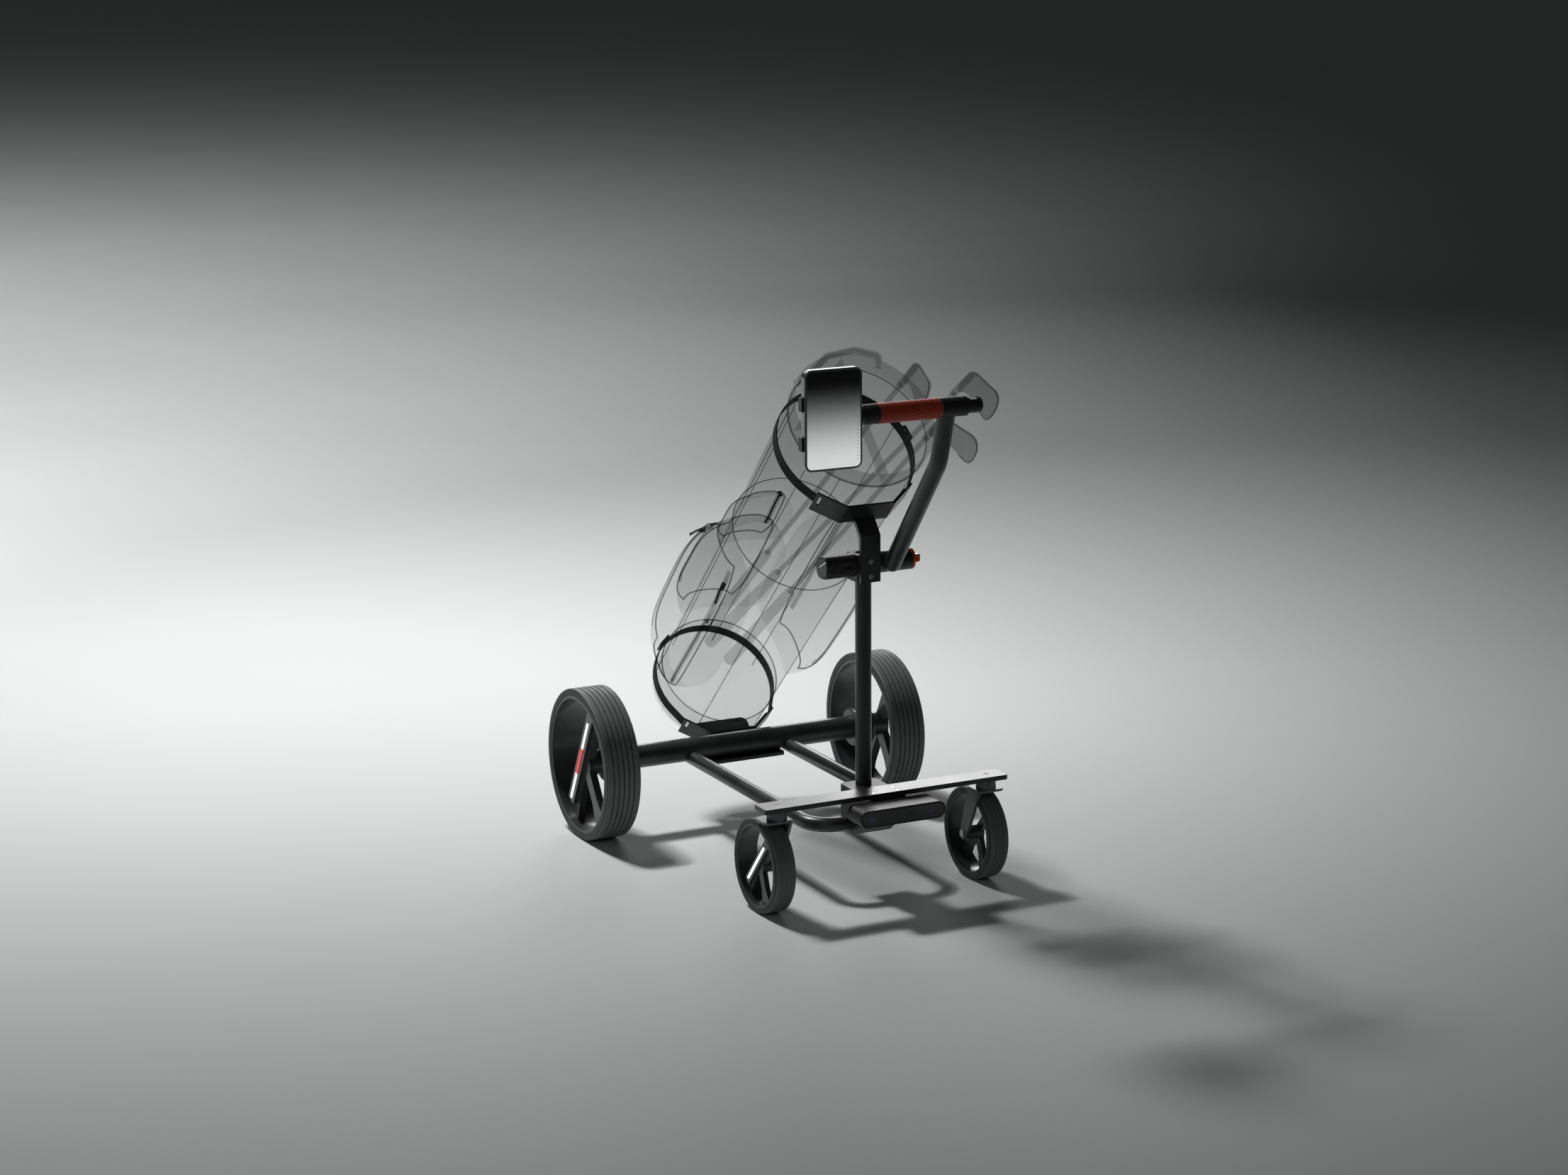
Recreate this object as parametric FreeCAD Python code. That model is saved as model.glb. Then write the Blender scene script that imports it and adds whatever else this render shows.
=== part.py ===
"""Golf bag on a four-wheeled push cart, in millimetres.

X runs along the big wheels' axle, Y from the handle end to the axle end, Z up.
The bag has its own frame: x across, n out of its upper side, s along its length
from the lower strap towards the mouth.
"""
import FreeCAD, Part
import math
import os

V = FreeCAD.Vector

# ---- driving dimensions -------------------------------------------------
WHEEL_R = 145.0            # big wheel
WHEEL_WIDTH = 69.0
TRACK = 604.0              # centre plane to centre plane of the big wheels
AXLE_Y = 573.6
AXLE_R = 22.5
AXLE_WALL = 2.5
TYRE_DEPTH = 14.0
RIM_WALL = 5.0
GROOVE_COUNT = 5
GROOVE_DEPTH = 2.0

CASTER_R = 85.4
CASTER_WIDTH = 41.0
CASTER_TYRE_DEPTH = 10.4
CASTER_RIM_WALL = 4.0
CASTER_X = 214.0           # centre plane of a caster wheel
SWIVEL_X = 210.0
SWIVEL_Y = -23.0
CASTER_TRAIL = 41.0

RAIL_R = 13.5              # bent base tube
RAIL_WALL = 2.0
RAIL_X = 103.0
RAIL_Z = 132.0
RAIL_FRONT_Y = 37.5
RAIL_BEND = 52.0

BAR_LENGTH = 486.0         # flat cross bar over the casters
BAR_DEPTH = 46.4
BAR_THICK = 8.5
BAR_TOP_Z = 204.9

UPRIGHT_R = 14.5
UPRIGHT_WALL = 1.8
UPRIGHT_Y = 50.6
UPRIGHT_TOP_Z = 617.0

HOUSING_HALF_X = 36.0      # moulded hub that joins upright, base tube and sensor
SENSOR_HALF_X = 85.0
SENSOR_HEIGHT = 31.0
SENSOR_FRONT_Y = -98.7
SENSOR_DEPTH = 52.0
SENSOR_Z = 177.85
LENS_X = (-60.0, 55.0)

HINGE_Y = 50.0             # handle hinge axis runs along X
HINGE_Z = 600.0
SLEEVE_R = 19.5
SHAFT_R = 9.95
SLEEVE_X0 = 22.6
SLEEVE_X1 = 90.0
CONTROL_X0 = -83.0
CONTROL_X1 = -22.2
CONTROL_HEIGHT = 40.0
CONTROL_DEPTH = 42.0
BUTTON_R = 7.0
BUTTON_X = -62.0

HANDLE_R = 15.5
HANDLE_WALL = 2.0
HANDLE_X = 44.5
HANDLE_FOOT = (24.0, 601.0)      # (y, z) points of the handle tube's middle line
KNEE_FROM_MOUTH = (-208.35, -38.33)     # (y, z) from the bag mouth's middle
HANDLE_BEND = 70.0
GRIP_FROM_MOUTH = (-238.35, 62.67)
GRIP_BAR_R = 16.0
GRIP_BAR_WALL = 2.0
GRIP_BAR_X0 = -160.0
GRIP_BAR_X1 = 79.0
GRIP_X0 = -91.0
GRIP_END_GAP = 1.0         # soft grip to handle tube
GRIP_THICK = 1.6
COLLAR_THICK = 1.2
LEFT_COLLAR_X0 = -116.0
THUMB_LENGTH = 29.0
THUMB_R = 13.5

DISPLAY_X = -187.5
DISPLAY_WIDTH = 107.0
DISPLAY_HEIGHT = 170.0
DISPLAY_DEPTH = 16.0
DISPLAY_RISE = 2.0         # display middle above the grip bar
DISPLAY_REACH = 32.0       # display front ahead of the grip bar
DISPLAY_CORNER = 13.0

BAG_SETBACK = 94.6         # bag axis at the lower strap (s = 0), from the axle
BAG_RISE = 111.3
BAG_LEAN = 45.57           # degrees from upright, mouth towards the handle
BAG_BASE_S = -50.0
BAG_TUBE_S = 840.0
BAG_BASE_R = 118.5
BAG_TUBE_R0 = 115.0
BAG_TUBE_R1 = 128.0
BAG_WALL = 3.0
COLLAR_R = 132.5
COLLAR_WALL = 5.0
COLLAR_HEIGHT = 34.0
LIFT_ARC_R = 114.0         # lift handle over the mouth's upper rim
LIFT_RISE = 62.0
LIFT_R = 7.0
LIFT_WALL = 2.5
DIVIDER_THICK = 5.0
CUP_TOP_S = 22.0
POCKET_HALF_X = 172.0
POCKET_N0 = -88.0
POCKET_N1 = 95.0
POCKET_S0 = 62.0
POCKET_S1 = 478.0
FRONT_POCKET_N = 172.0
FRONT_POCKET_HALF_X = 90.0
HIGH_POCKET_HALF_X = 66.0
FRONT_SPLIT_S = 352.0      # between the low and the high front pocket
FRONT_TOP_S = 448.0

CRADLE_HALF = 46.0         # flat middle of each bag cradle
CRADLE_WING = 60.0
CRADLE_WING_ANGLE = 37.0
LOWER_CRADLE_N = 119.2
LOWER_CRADLE_S = (-44.0, 0.0)
UPPER_CRADLE_N = 128.0
UPPER_CRADLE_S = (735.0, 783.0)
UPPER_WING = 58.0
CRADLE_PLATE = 3.6
PAD_THICK = 2.6
STRAP_THICK = 2.2
STRAP_WIDTH = 20.0
UPPER_STRAP_S = 765.0

# ---- clearances ---------------------------------------------------------
RUN_FIT = 0.05             # radial play of every turning shaft
SEAT_GAP = 0.05            # radial play of pieces pressed together
SIDE_GAP = 0.6             # side play between a turning piece and its neighbour
STRAP_GAP = 0.8            # strap to bag
POCKET_GAP = 0.5           # front pockets to side pockets
HEAD_GAP = 0.4             # screw head to its recess, all round

# ---- values that follow -------------------------------------------------
WHEEL_X = TRACK / 2
AXLE_Z = WHEEL_R
BAG_FOOT_Y = AXLE_Y + BAG_SETBACK
BAG_FOOT_Z = AXLE_Z + BAG_RISE
MOUTH_Y = BAG_FOOT_Y - BAG_TUBE_S * math.sin(math.radians(BAG_LEAN))
MOUTH_Z = BAG_FOOT_Z + BAG_TUBE_S * math.cos(math.radians(BAG_LEAN))
LIFT_S = BAG_TUBE_S + LIFT_RISE
HANDLE_KNEE = (MOUTH_Y + KNEE_FROM_MOUTH[0], MOUTH_Z + KNEE_FROM_MOUTH[1])
GRIP_BAR_Y = MOUTH_Y + GRIP_FROM_MOUTH[0]
GRIP_BAR_Z = MOUTH_Z + GRIP_FROM_MOUTH[1]
GRIP_X1 = HANDLE_X - HANDLE_R - GRIP_END_GAP
DISPLAY_Z = GRIP_BAR_Z + DISPLAY_RISE
DISPLAY_FRONT_Y = GRIP_BAR_Y - DISPLAY_REACH
CASTER_Y = SWIVEL_Y + CASTER_TRAIL
BAR_Z0 = BAR_TOP_Z - BAR_THICK
BAR_Y0 = SWIVEL_Y - BAR_DEPTH / 2
BAR_Y1 = SWIVEL_Y + BAR_DEPTH / 2

nodes = {}


# ---- small helpers ------------------------------------------------------
def box(x0, x1, y0, y1, z0, z1):
    """Block between two corners."""
    return Part.makeBox(x1 - x0, y1 - y0, z1 - z0, V(x0, y0, z0))


def rod(start, direction, radius, length):
    """Solid cylinder."""
    return Part.makeCylinder(radius, length, V(*start), V(*direction))


def ring(start, direction, outer, inner, length):
    """Hollow cylinder."""
    return rod(start, direction, outer, length).cut(rod(start, direction, inner, length))


def fuse(*shapes):
    """One solid from several that touch."""
    whole = shapes[0]
    for shape in shapes[1:]:
        whole = whole.fuse(shape)
    return whole.removeSplitter()


def group(*shapes):
    """Several separate solids that share one node."""
    return Part.makeCompound([solid for shape in shapes for solid in shape.Solids])


def fillet(shape, radius, chosen):
    """Round the edges that the test picks."""
    edges = [edge for edge in shape.Edges if chosen(edge)]
    return shape.makeFillet(radius, edges) if edges else shape


def along(edge, axis):
    """True for a straight edge parallel to the named axis."""
    if not isinstance(edge.Curve, Part.Line) and not isinstance(edge.Curve, Part.LineSegment):
        return False
    step = edge.Vertexes[-1].Point - edge.Vertexes[0].Point
    return abs(abs(getattr(step, axis)) - step.Length) < 1e-6


def rounded_box(x0, x1, y0, y1, z0, z1, axis, corner):
    """Block with its four edges along one axis rounded."""
    return fillet(box(x0, x1, y0, y1, z0, z1), corner, lambda edge: along(edge, axis))


def polygon(points, push):
    """Prism over a flat outline, pushed along a vector."""
    corners = [V(*point) for point in points]
    return Part.Face(Part.makePolygon(corners + corners[:1])).extrude(V(*push))


def tube_wire(points, bend):
    """Straight runs joined by tangent arcs."""
    points = [V(*point) for point in points]
    edges = []
    last = points[0]
    for before, corner, after in zip(points, points[1:], points[2:]):
        a = (corner - before).normalize()
        b = (after - corner).normalize()
        turn = a.getAngle(b)
        setback = bend * math.tan(turn / 2)
        inward = (b - a).normalize()
        centre = corner + inward * (bend / math.cos(turn / 2))
        start = corner - a * setback
        end = corner + b * setback
        edges.append(Part.LineSegment(last, start).toShape())
        edges.append(Part.Arc(start, centre - inward * bend, end).toShape())
        last = end
    edges.append(Part.LineSegment(last, points[-1]).toShape())
    return Part.Wire(edges)


def swept(points, bend, radius):
    """Round bar along a bent line."""
    path = tube_wire(points, bend)
    start = V(*points[0])
    profile = Part.Wire([Part.makeCircle(radius, start, V(*points[1]) - start)])
    return path.makePipeShell([profile], True, True)


def bent_tube(points, bend, outer, wall):
    """Hollow tube along a bent line."""
    return swept(points, bend, outer).cut(swept(points, bend, outer - wall))


def mirrored(shape):
    """The same piece on the other side of the cart."""
    return shape.mirror(V(0, 0, 0), V(1, 0, 0))


def in_bag(shape):
    """From the bag's own x, n, s frame to the cart's frame."""
    placed = shape.copy()
    turn = FreeCAD.Rotation(V(1, 0, 0), BAG_LEAN)
    placed.Placement = FreeCAD.Placement(V(0, BAG_FOOT_Y, BAG_FOOT_Z), turn).multiply(placed.Placement)
    return placed


def node(name, shape):
    """Keep one named piece."""
    nodes[name] = shape


# ---- base frame ---------------------------------------------------------
AXLE_HALF = WHEEL_X - WHEEL_WIDTH / 2 - 20.0
MOTOR_R = 38.0
MOTOR_LENGTH = 38.0
HUB_R = 24.0
SPINDLE_R = 6.0
CASTER_SPINDLE_R = 4.0
CASTER_HUB_R = 14.0
SADDLE_THICK = 6.5


def axle_cylinder(radius):
    """Bar on the axle's line, longer than the axle."""
    return rod((-AXLE_HALF - 5, AXLE_Y, AXLE_Z), (1, 0, 0), radius, 2 * AXLE_HALF + 10)


def base_frame():
    """Axle, bent base tube, saddle, upright and cross bar."""
    node("axle_tube", ring((-AXLE_HALF, AXLE_Y, AXLE_Z), (1, 0, 0), AXLE_R, AXLE_R - AXLE_WALL, 2 * AXLE_HALF))
    end_y = AXLE_Y - 6.0
    corners = [(-RAIL_X, end_y, RAIL_Z), (-RAIL_X, RAIL_FRONT_Y, RAIL_Z),
               (RAIL_X, RAIL_FRONT_Y, RAIL_Z), (RAIL_X, end_y, RAIL_Z)]
    rails = bent_tube(corners, RAIL_BEND, RAIL_R, RAIL_WALL)
    node("base_tube", rails.cut(axle_cylinder(AXLE_R + SEAT_GAP)))
    half = RAIL_X - RAIL_R - SEAT_GAP
    saddle = rounded_box(-half, half, AXLE_Y - 28, AXLE_Y + 28, AXLE_Z - AXLE_R - SADDLE_THICK - SEAT_GAP,
                         AXLE_Z - AXLE_R - SEAT_GAP, "z", 6)
    node("axle_saddle", saddle)
    bottom = RAIL_Z + RAIL_R + 2.0
    node("upright_tube", ring((0, UPRIGHT_Y, bottom), (0, 0, 1), UPRIGHT_R, UPRIGHT_R - UPRIGHT_WALL,
                              UPRIGHT_TOP_Z - bottom))


def screw_places():
    """Head centres of the screws that hold the cross bar to its housing."""
    return [(x, BAR_Y0 + BAR_DEPTH * share) for x in (-24.0, 24.0) for share in (0.28, 0.72)]


SCREW_R = 2.5
SCREW_HEAD_R = 4.5
SCREW_HEAD = 2.4
SCREW_LENGTH = 16.0
SCREW_SINK = 2.8           # heads of the bar's screws lie below its top


def screw(place, direction, length):
    """Button-head screw with a hexagon socket, head seated at the place."""
    place = V(*place)
    direction = V(*direction)
    head = rod(place, direction, SCREW_HEAD_R, SCREW_HEAD)
    head = fillet(head, 1.0, lambda edge: (edge.CenterOfMass - place).dot(direction) > SCREW_HEAD - 0.1)
    side = direction.cross(V(1, 0.3, 0.2)).normalize()
    turn = FreeCAD.Rotation(direction, 60)
    corners = [side * 1.7]
    for _ in range(5):
        corners.append(turn.multVec(corners[-1]))
    socket_floor = place + direction * (SCREW_HEAD - 1.4)
    outline = [socket_floor + corner for corner in corners]
    socket = Part.Face(Part.makePolygon(outline + outline[:1])).extrude(direction * 3)
    shank = rod(place, direction * -1, SCREW_R, length)
    return fuse(head.cut(socket), shank)


STEM_R = 5.0
STEM_BOSS_R = 18.0


def cross_bar():
    """Flat bar over the casters, its screws and the hub housing under it."""
    half = BAR_LENGTH / 2
    bar = rounded_box(-half, half, BAR_Y0, BAR_Y1, BAR_Z0, BAR_TOP_Z, "z", 5)
    bar = fillet(bar, 1.0, lambda edge: abs(edge.CenterOfMass.z - BAR_TOP_Z) < 0.01)
    for side in (-1, 1):
        hole = rod((side * SWIVEL_X, SWIVEL_Y, BAR_Z0 - 1), (0, 0, 1), STEM_R + RUN_FIT, BAR_THICK + 2)
        bar = bar.cut(hole)
    housing_top = BAR_Z0 - SEAT_GAP
    back = UPRIGHT_Y + UPRIGHT_R + 10.0
    front = SENSOR_FRONT_Y + SENSOR_DEPTH + SEAT_GAP
    housing = rounded_box(-HOUSING_HALF_X, HOUSING_HALF_X, front, back, RAIL_Z - RAIL_R - 2.5, housing_top, "z", 7)
    side_x = -HOUSING_HALF_X - 1
    low_z = RAIL_Z - RAIL_R - 4
    slope = polygon([(side_x, front - 1, low_z), (side_x, front - 1, SENSOR_Z - 12),
                     (side_x, RAIL_FRONT_Y - RAIL_R - 6, low_z)], (2 * HOUSING_HALF_X + 2, 0, 0))
    housing = housing.cut(slope)
    rail = rod((-HOUSING_HALF_X - 1, RAIL_FRONT_Y, RAIL_Z), (1, 0, 0), RAIL_R + SEAT_GAP, 2 * HOUSING_HALF_X + 2)
    socket = rod((0, UPRIGHT_Y, RAIL_Z + RAIL_R + 2.0), (0, 0, 1), UPRIGHT_R + SEAT_GAP, 80)
    housing = housing.cut(rail).cut(socket)
    screws = []
    for x, y in screw_places():
        hole = rod((x, y, BAR_Z0 - SCREW_LENGTH), (0, 0, 1), SCREW_R + SEAT_GAP, SCREW_LENGTH + BAR_THICK + 1)
        recess = rod((x, y, BAR_TOP_Z - SCREW_SINK), (0, 0, 1), SCREW_HEAD_R + HEAD_GAP, SCREW_SINK + 1)
        bar = bar.cut(hole).cut(recess)
        housing = housing.cut(hole)
        screws.append(screw((x, y, BAR_TOP_Z - SCREW_SINK), (0, 0, 1), SCREW_LENGTH))
    node("cross_bar", bar)
    node("front_hub_housing", housing)
    return screws


# ---- sensor in front of the housing -------------------------------------
WINDOW_INSET = 4.0
WINDOW_DEPTH = 2.5
LENS_R = 4.5


def stadium(half_x, height, y0, y1):
    """Pill-shaped prism along Y about the sensor's middle height."""
    radius = height / 2
    middle = box(-half_x + radius, half_x - radius, y0, y1, SENSOR_Z - radius, SENSOR_Z + radius)
    ends = [rod((side * (half_x - radius), y0, SENSOR_Z), (0, 1, 0), radius, y1 - y0) for side in (-1, 1)]
    return fuse(middle, *ends)


def sensor():
    """Pill-shaped sensor body with a dark window and two lenses."""
    back = SENSOR_FRONT_Y + SENSOR_DEPTH
    body = stadium(SENSOR_HALF_X, SENSOR_HEIGHT, SENSOR_FRONT_Y, back)
    rim = fillet(body, 2.0, lambda edge: abs(edge.CenterOfMass.y - back) < 0.01)
    window_half = SENSOR_HALF_X - WINDOW_INSET
    window_height = SENSOR_HEIGHT - 2 * WINDOW_INSET
    recess = stadium(window_half + SEAT_GAP, window_height + 2 * SEAT_GAP, SENSOR_FRONT_Y - 1,
                     SENSOR_FRONT_Y + WINDOW_DEPTH)
    node("sensor_body", rim.cut(recess))
    window = stadium(window_half, window_height, SENSOR_FRONT_Y - 0.4, SENSOR_FRONT_Y + WINDOW_DEPTH)
    lenses = []
    for x in LENS_X:
        seat = rod((x, SENSOR_FRONT_Y - 1, SENSOR_Z), (0, 1, 0), LENS_R + SEAT_GAP, 2.2)
        window = window.cut(seat)
        lens = rod((x, SENSOR_FRONT_Y - 0.9, SENSOR_Z), (0, 1, 0), LENS_R, 2.1)
        lenses.append(fillet(lens, 0.6, lambda edge: edge.CenterOfMass.y < SENSOR_FRONT_Y - 0.8))
    node("sensor_window", window)
    node("sensor_lenses", group(*lenses))


# ---- wheels -------------------------------------------------------------
ARM_THICK = 14.0
BLADE_WIDTH = 25.0
BLADE_OFFSET = 8.0
BLADE_THICK = 8.0
STRIP_WIDTH = 7.0
STRIP_THICK = 1.2


def spoke(reach, hub_width, rim_width, x0, x1):
    """Arm that widens from the hub at the origin to the rim, along +Z."""
    neck = reach * 0.6
    outline = [(x0, -hub_width / 2, 0), (x0, -hub_width / 2, neck), (x0, -rim_width / 2, reach),
               (x0, rim_width / 2, reach), (x0, hub_width / 2, neck), (x0, hub_width / 2, 0)]
    return polygon(outline, (x1 - x0, 0, 0))


def turned(shape, degrees):
    """Turn a wheel's piece about its axle line through the origin."""
    copy = shape.copy()
    copy.rotate(V(0, 0, 0), V(1, 0, 0), degrees)
    return copy


def wheel_rim(outer, wall, width, hub_radius, bore, hub_x0, scale, tilt):
    """Rim barrel, hub, three arms and the outer blade; outer side faces +X."""
    half = width / 2
    inner = outer - wall
    face = half - 8.0 * scale
    barrel = ring((-half + 1, 0, 0), (1, 0, 0), outer, inner, width - 2)
    disc = rod((-half, 0, 0), (1, 0, 0), inner + wall / 2, width)
    arm_x0 = face - BLADE_THICK * scale - ARM_THICK * scale
    arm_x1 = face - BLADE_THICK * scale
    arms = [turned(spoke(inner + 1, 24 * scale, 46 * scale, arm_x0, arm_x1), tilt + angle) for angle in (0, 118, 180)]
    blade = box(arm_x1 - 1, face, -BLADE_WIDTH * scale / 2, BLADE_WIDTH * scale / 2, -0.80 * inner, inner + 1)
    blade.translate(V(0, BLADE_OFFSET * scale, 0))
    corner = box(arm_x1 - 2, face + 1, 0, BLADE_WIDTH, -BLADE_WIDTH * 0.6 * scale, 0)
    corner.rotate(V(0, 0, 0), V(1, 0, 0), -35)
    corner.translate(V(0, BLADE_OFFSET * scale - BLADE_WIDTH * scale / 2, -0.80 * inner))
    blade = turned(blade.cut(corner), tilt)
    hub = rod((hub_x0, 0, 0), (1, 0, 0), hub_radius, arm_x1 - hub_x0)
    spider = fuse(hub, blade, *arms).common(disc)
    hole = rod((hub_x0 - 1, 0, 0), (1, 0, 0), bore, arm_x1 - hub_x0 - 1)
    whole = fuse(barrel, spider.cut(hole))
    return whole


def tyre(outer, depth, width, grooves, groove_depth, shoulder):
    """Solid tyre with grooves round its tread."""
    half = width / 2
    body = ring((-half, 0, 0), (1, 0, 0), outer, outer - depth, width)
    body = fillet(body, shoulder, lambda edge: isinstance(edge.Curve, Part.Circle)
                  and abs(edge.Curve.Radius - outer) < 0.01)
    pitch = (width - 2 * shoulder) / (grooves + 1)
    for index in range(grooves):
        x = -half + shoulder + pitch * (index + 1)
        groove = ring((x - 1.1, 0, 0), (1, 0, 0), outer + 1, outer - groove_depth, 2.2)
        body = body.cut(groove)
    return body


def light_strip(inner, width, scale, tilt, segments):
    """Lamp strip let on to the blade, in separate lengths from its low end."""
    face = width / 2 - 8.0 * scale
    half = STRIP_WIDTH * scale / 2
    span = 1.5 * inner
    low = -0.74 * inner
    strips = []
    for start, end in segments:
        strip = box(face + SEAT_GAP, face + STRIP_THICK, -half, half, low + span * start, low + span * end)
        strip.translate(V(0, BLADE_OFFSET * scale, 0))
        strips.append(turned(strip, tilt))
    return group(*strips)


BIG_TILT = 28.3            # the blade's top leans this far towards the handle
CASTER_TILT = 41.6
RIM_R = WHEEL_R - TYRE_DEPTH - SEAT_GAP
CASTER_SCALE = 0.66
CASTER_RIM_R = CASTER_R - CASTER_TYRE_DEPTH - SEAT_GAP


def moved(shape, x, y, z):
    """Copy of a shape at a new place."""
    copy = shape.copy()
    copy.translate(V(x, y, z))
    return copy


def big_wheels():
    """Tyre, rim and lamp strip of both big wheels, their hub motors and axles."""
    hub_x0 = AXLE_HALF + MOTOR_LENGTH - WHEEL_X + SIDE_GAP
    rim = wheel_rim(RIM_R, RIM_WALL, WHEEL_WIDTH, HUB_R, SPINDLE_R + RUN_FIT, hub_x0, 1.0, BIG_TILT)
    rubber = tyre(WHEEL_R, TYRE_DEPTH, WHEEL_WIDTH, GROOVE_COUNT, GROOVE_DEPTH, 4)
    inner = RIM_R - RIM_WALL
    strip = light_strip(inner, WHEEL_WIDTH, 1.0, BIG_TILT, [(0, 0.36), (0.362, 0.638), (0.64, 1.0)])
    face = WHEEL_WIDTH / 2 - 8.0
    spindle_end = WHEEL_X + face - BLADE_THICK - 2.0
    motor = rod((AXLE_HALF + SEAT_GAP, AXLE_Y, AXLE_Z), (1, 0, 0), MOTOR_R, MOTOR_LENGTH - SEAT_GAP)
    motor = fillet(motor, 5, lambda edge: isinstance(edge.Curve, Part.Circle))
    start = AXLE_HALF - 18
    spindle = rod((start, AXLE_Y, AXLE_Z), (1, 0, 0), SPINDLE_R, spindle_end - start)
    motor = motor.cut(rod((start, AXLE_Y, AXLE_Z), (1, 0, 0), SPINDLE_R + SEAT_GAP, 200))
    plug = rod((AXLE_HALF - 16, AXLE_Y, AXLE_Z), (1, 0, 0), AXLE_R - AXLE_WALL - SEAT_GAP, 16 - SEAT_GAP)
    spindle = fuse(spindle, plug)
    for side, put in (("right", lambda s: s), ("left", mirrored)):
        node(side + "_tyre", put(moved(rubber, WHEEL_X, AXLE_Y, AXLE_Z)))
        node(side + "_wheel_rim", put(moved(rim, WHEEL_X, AXLE_Y, AXLE_Z)))
        node(side + "_wheel_lamp", put(moved(strip, WHEEL_X, AXLE_Y, AXLE_Z)))
    node("hub_motors", group(motor, mirrored(motor)))
    node("wheel_spindles", group(spindle, mirrored(spindle)))


FORK_PLATE = 4.5
FORK_LEG = 6.0
FORK_GAP = 1.0


def caster(side, put):
    """One caster: fork with its swivel stem, wheel, tyre and spindle."""
    plate_top = CASTER_R * 2 + 4.0 + FORK_PLATE
    inner_x = CASTER_X - CASTER_WIDTH / 2 - FORK_GAP
    plate = rounded_box(inner_x - FORK_LEG, SWIVEL_X + 30, SWIVEL_Y - 19, SWIVEL_Y + 30, plate_top - FORK_PLATE,
                        plate_top, "z", 12)
    boss = rod((SWIVEL_X, SWIVEL_Y, plate_top - 0.1), (0, 0, 1), STEM_BOSS_R, BAR_Z0 - plate_top + 0.1 - SIDE_GAP / 2)
    stem = rod((SWIVEL_X, SWIVEL_Y, plate_top - 0.1), (0, 0, 1), STEM_R, BAR_TOP_Z - 0.4 - plate_top)
    leg_x0 = inner_x - FORK_LEG
    end = rod((leg_x0, CASTER_Y, CASTER_R), (1, 0, 0), 11, FORK_LEG)
    lean = math.atan2(CASTER_Y - SWIVEL_Y - 8, plate_top - CASTER_R)
    side_y = 11 * math.cos(lean)
    side_z = 11 * math.sin(lean)
    top = plate_top - 1.0
    outline = [(leg_x0, CASTER_Y - side_y, CASTER_R - side_z), (leg_x0, SWIVEL_Y - 17, top),
               (leg_x0, SWIVEL_Y + 24, top), (leg_x0, CASTER_Y + side_y, CASTER_R + side_z)]
    leg = polygon(outline, (FORK_LEG, 0, 0))
    fork = fuse(plate, boss, stem, leg, end)
    fork = fork.cut(rod((leg_x0 - 1, CASTER_Y, CASTER_R), (1, 0, 0), CASTER_SPINDLE_R + SEAT_GAP, FORK_LEG + 2))
    node(side + "_caster_fork", put(fork))
    hub_x0 = -CASTER_WIDTH / 2 - FORK_GAP + 0.5
    rim = wheel_rim(CASTER_RIM_R, CASTER_RIM_WALL, CASTER_WIDTH, CASTER_HUB_R, CASTER_SPINDLE_R + RUN_FIT, hub_x0,
                    CASTER_SCALE, CASTER_TILT)
    rubber = tyre(CASTER_R, CASTER_TYRE_DEPTH, CASTER_WIDTH, 3, 0.8, 5)
    node(side + "_caster_rim", put(moved(rim, CASTER_X, CASTER_Y, CASTER_R)))
    node(side + "_caster_tyre", put(moved(rubber, CASTER_X, CASTER_Y, CASTER_R)))
    face = CASTER_WIDTH / 2 - 8.0 * CASTER_SCALE
    bolt_end = CASTER_X + face - BLADE_THICK * CASTER_SCALE - 2.0
    head = rod((leg_x0 - 3 - SEAT_GAP, CASTER_Y, CASTER_R), (1, 0, 0), 7, 3)
    bolt = rod((leg_x0 - 3, CASTER_Y, CASTER_R), (1, 0, 0), CASTER_SPINDLE_R, bolt_end - leg_x0 + 3)
    node(side + "_caster_bolt", put(fuse(head, bolt)))


# ---- bag cradles and straps ---------------------------------------------
def cradle_line(flat_n, wing, outward):
    """Half outline of a cradle at a distance outside its inner face: (x, n) of bend and tip."""
    angle = math.radians(CRADLE_WING_ANGLE)
    bend = (CRADLE_HALF + outward * math.tan(angle / 2), -flat_n - outward)
    tip = (CRADLE_HALF + wing * math.cos(angle) + outward * math.sin(angle),
           -flat_n + wing * math.sin(angle) - outward * math.cos(angle))
    return bend, tip


def cradle_plate(flat_n, wing, inside, outside, s0, s1):
    """Bent plate between two offsets of the cradle's inner face."""
    bend_in, tip_in = cradle_line(flat_n, wing, inside)
    bend_out, tip_out = cradle_line(flat_n, wing, outside)
    half = [tip_in, bend_in]
    back = [bend_out, tip_out]
    outline = half + [(-x, n) for x, n in reversed(half)]
    outline += [(-x, n) for x, n in reversed(back)] + back
    return polygon([(x, n, s0) for x, n in outline], (0, 0, s1 - s0))


def wing_pads(flat_n, wing, start, end, s0, s1):
    """Soft pads let on to both wings' inner faces."""
    pads = []
    angle = math.radians(CRADLE_WING_ANGLE)
    for side in (-1, 1):
        outline = []
        for reach, lift in ((start, SEAT_GAP), (end, SEAT_GAP), (end, PAD_THICK), (start, PAD_THICK)):
            x = CRADLE_HALF + reach * math.cos(angle) - lift * math.sin(angle)
            n = -flat_n + reach * math.sin(angle) + lift * math.cos(angle)
            outline.append((side * x, n, s0))
        pad = polygon(outline, (0, 0, s1 - s0))
        pads.append(pad)
    return group(*pads)


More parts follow.
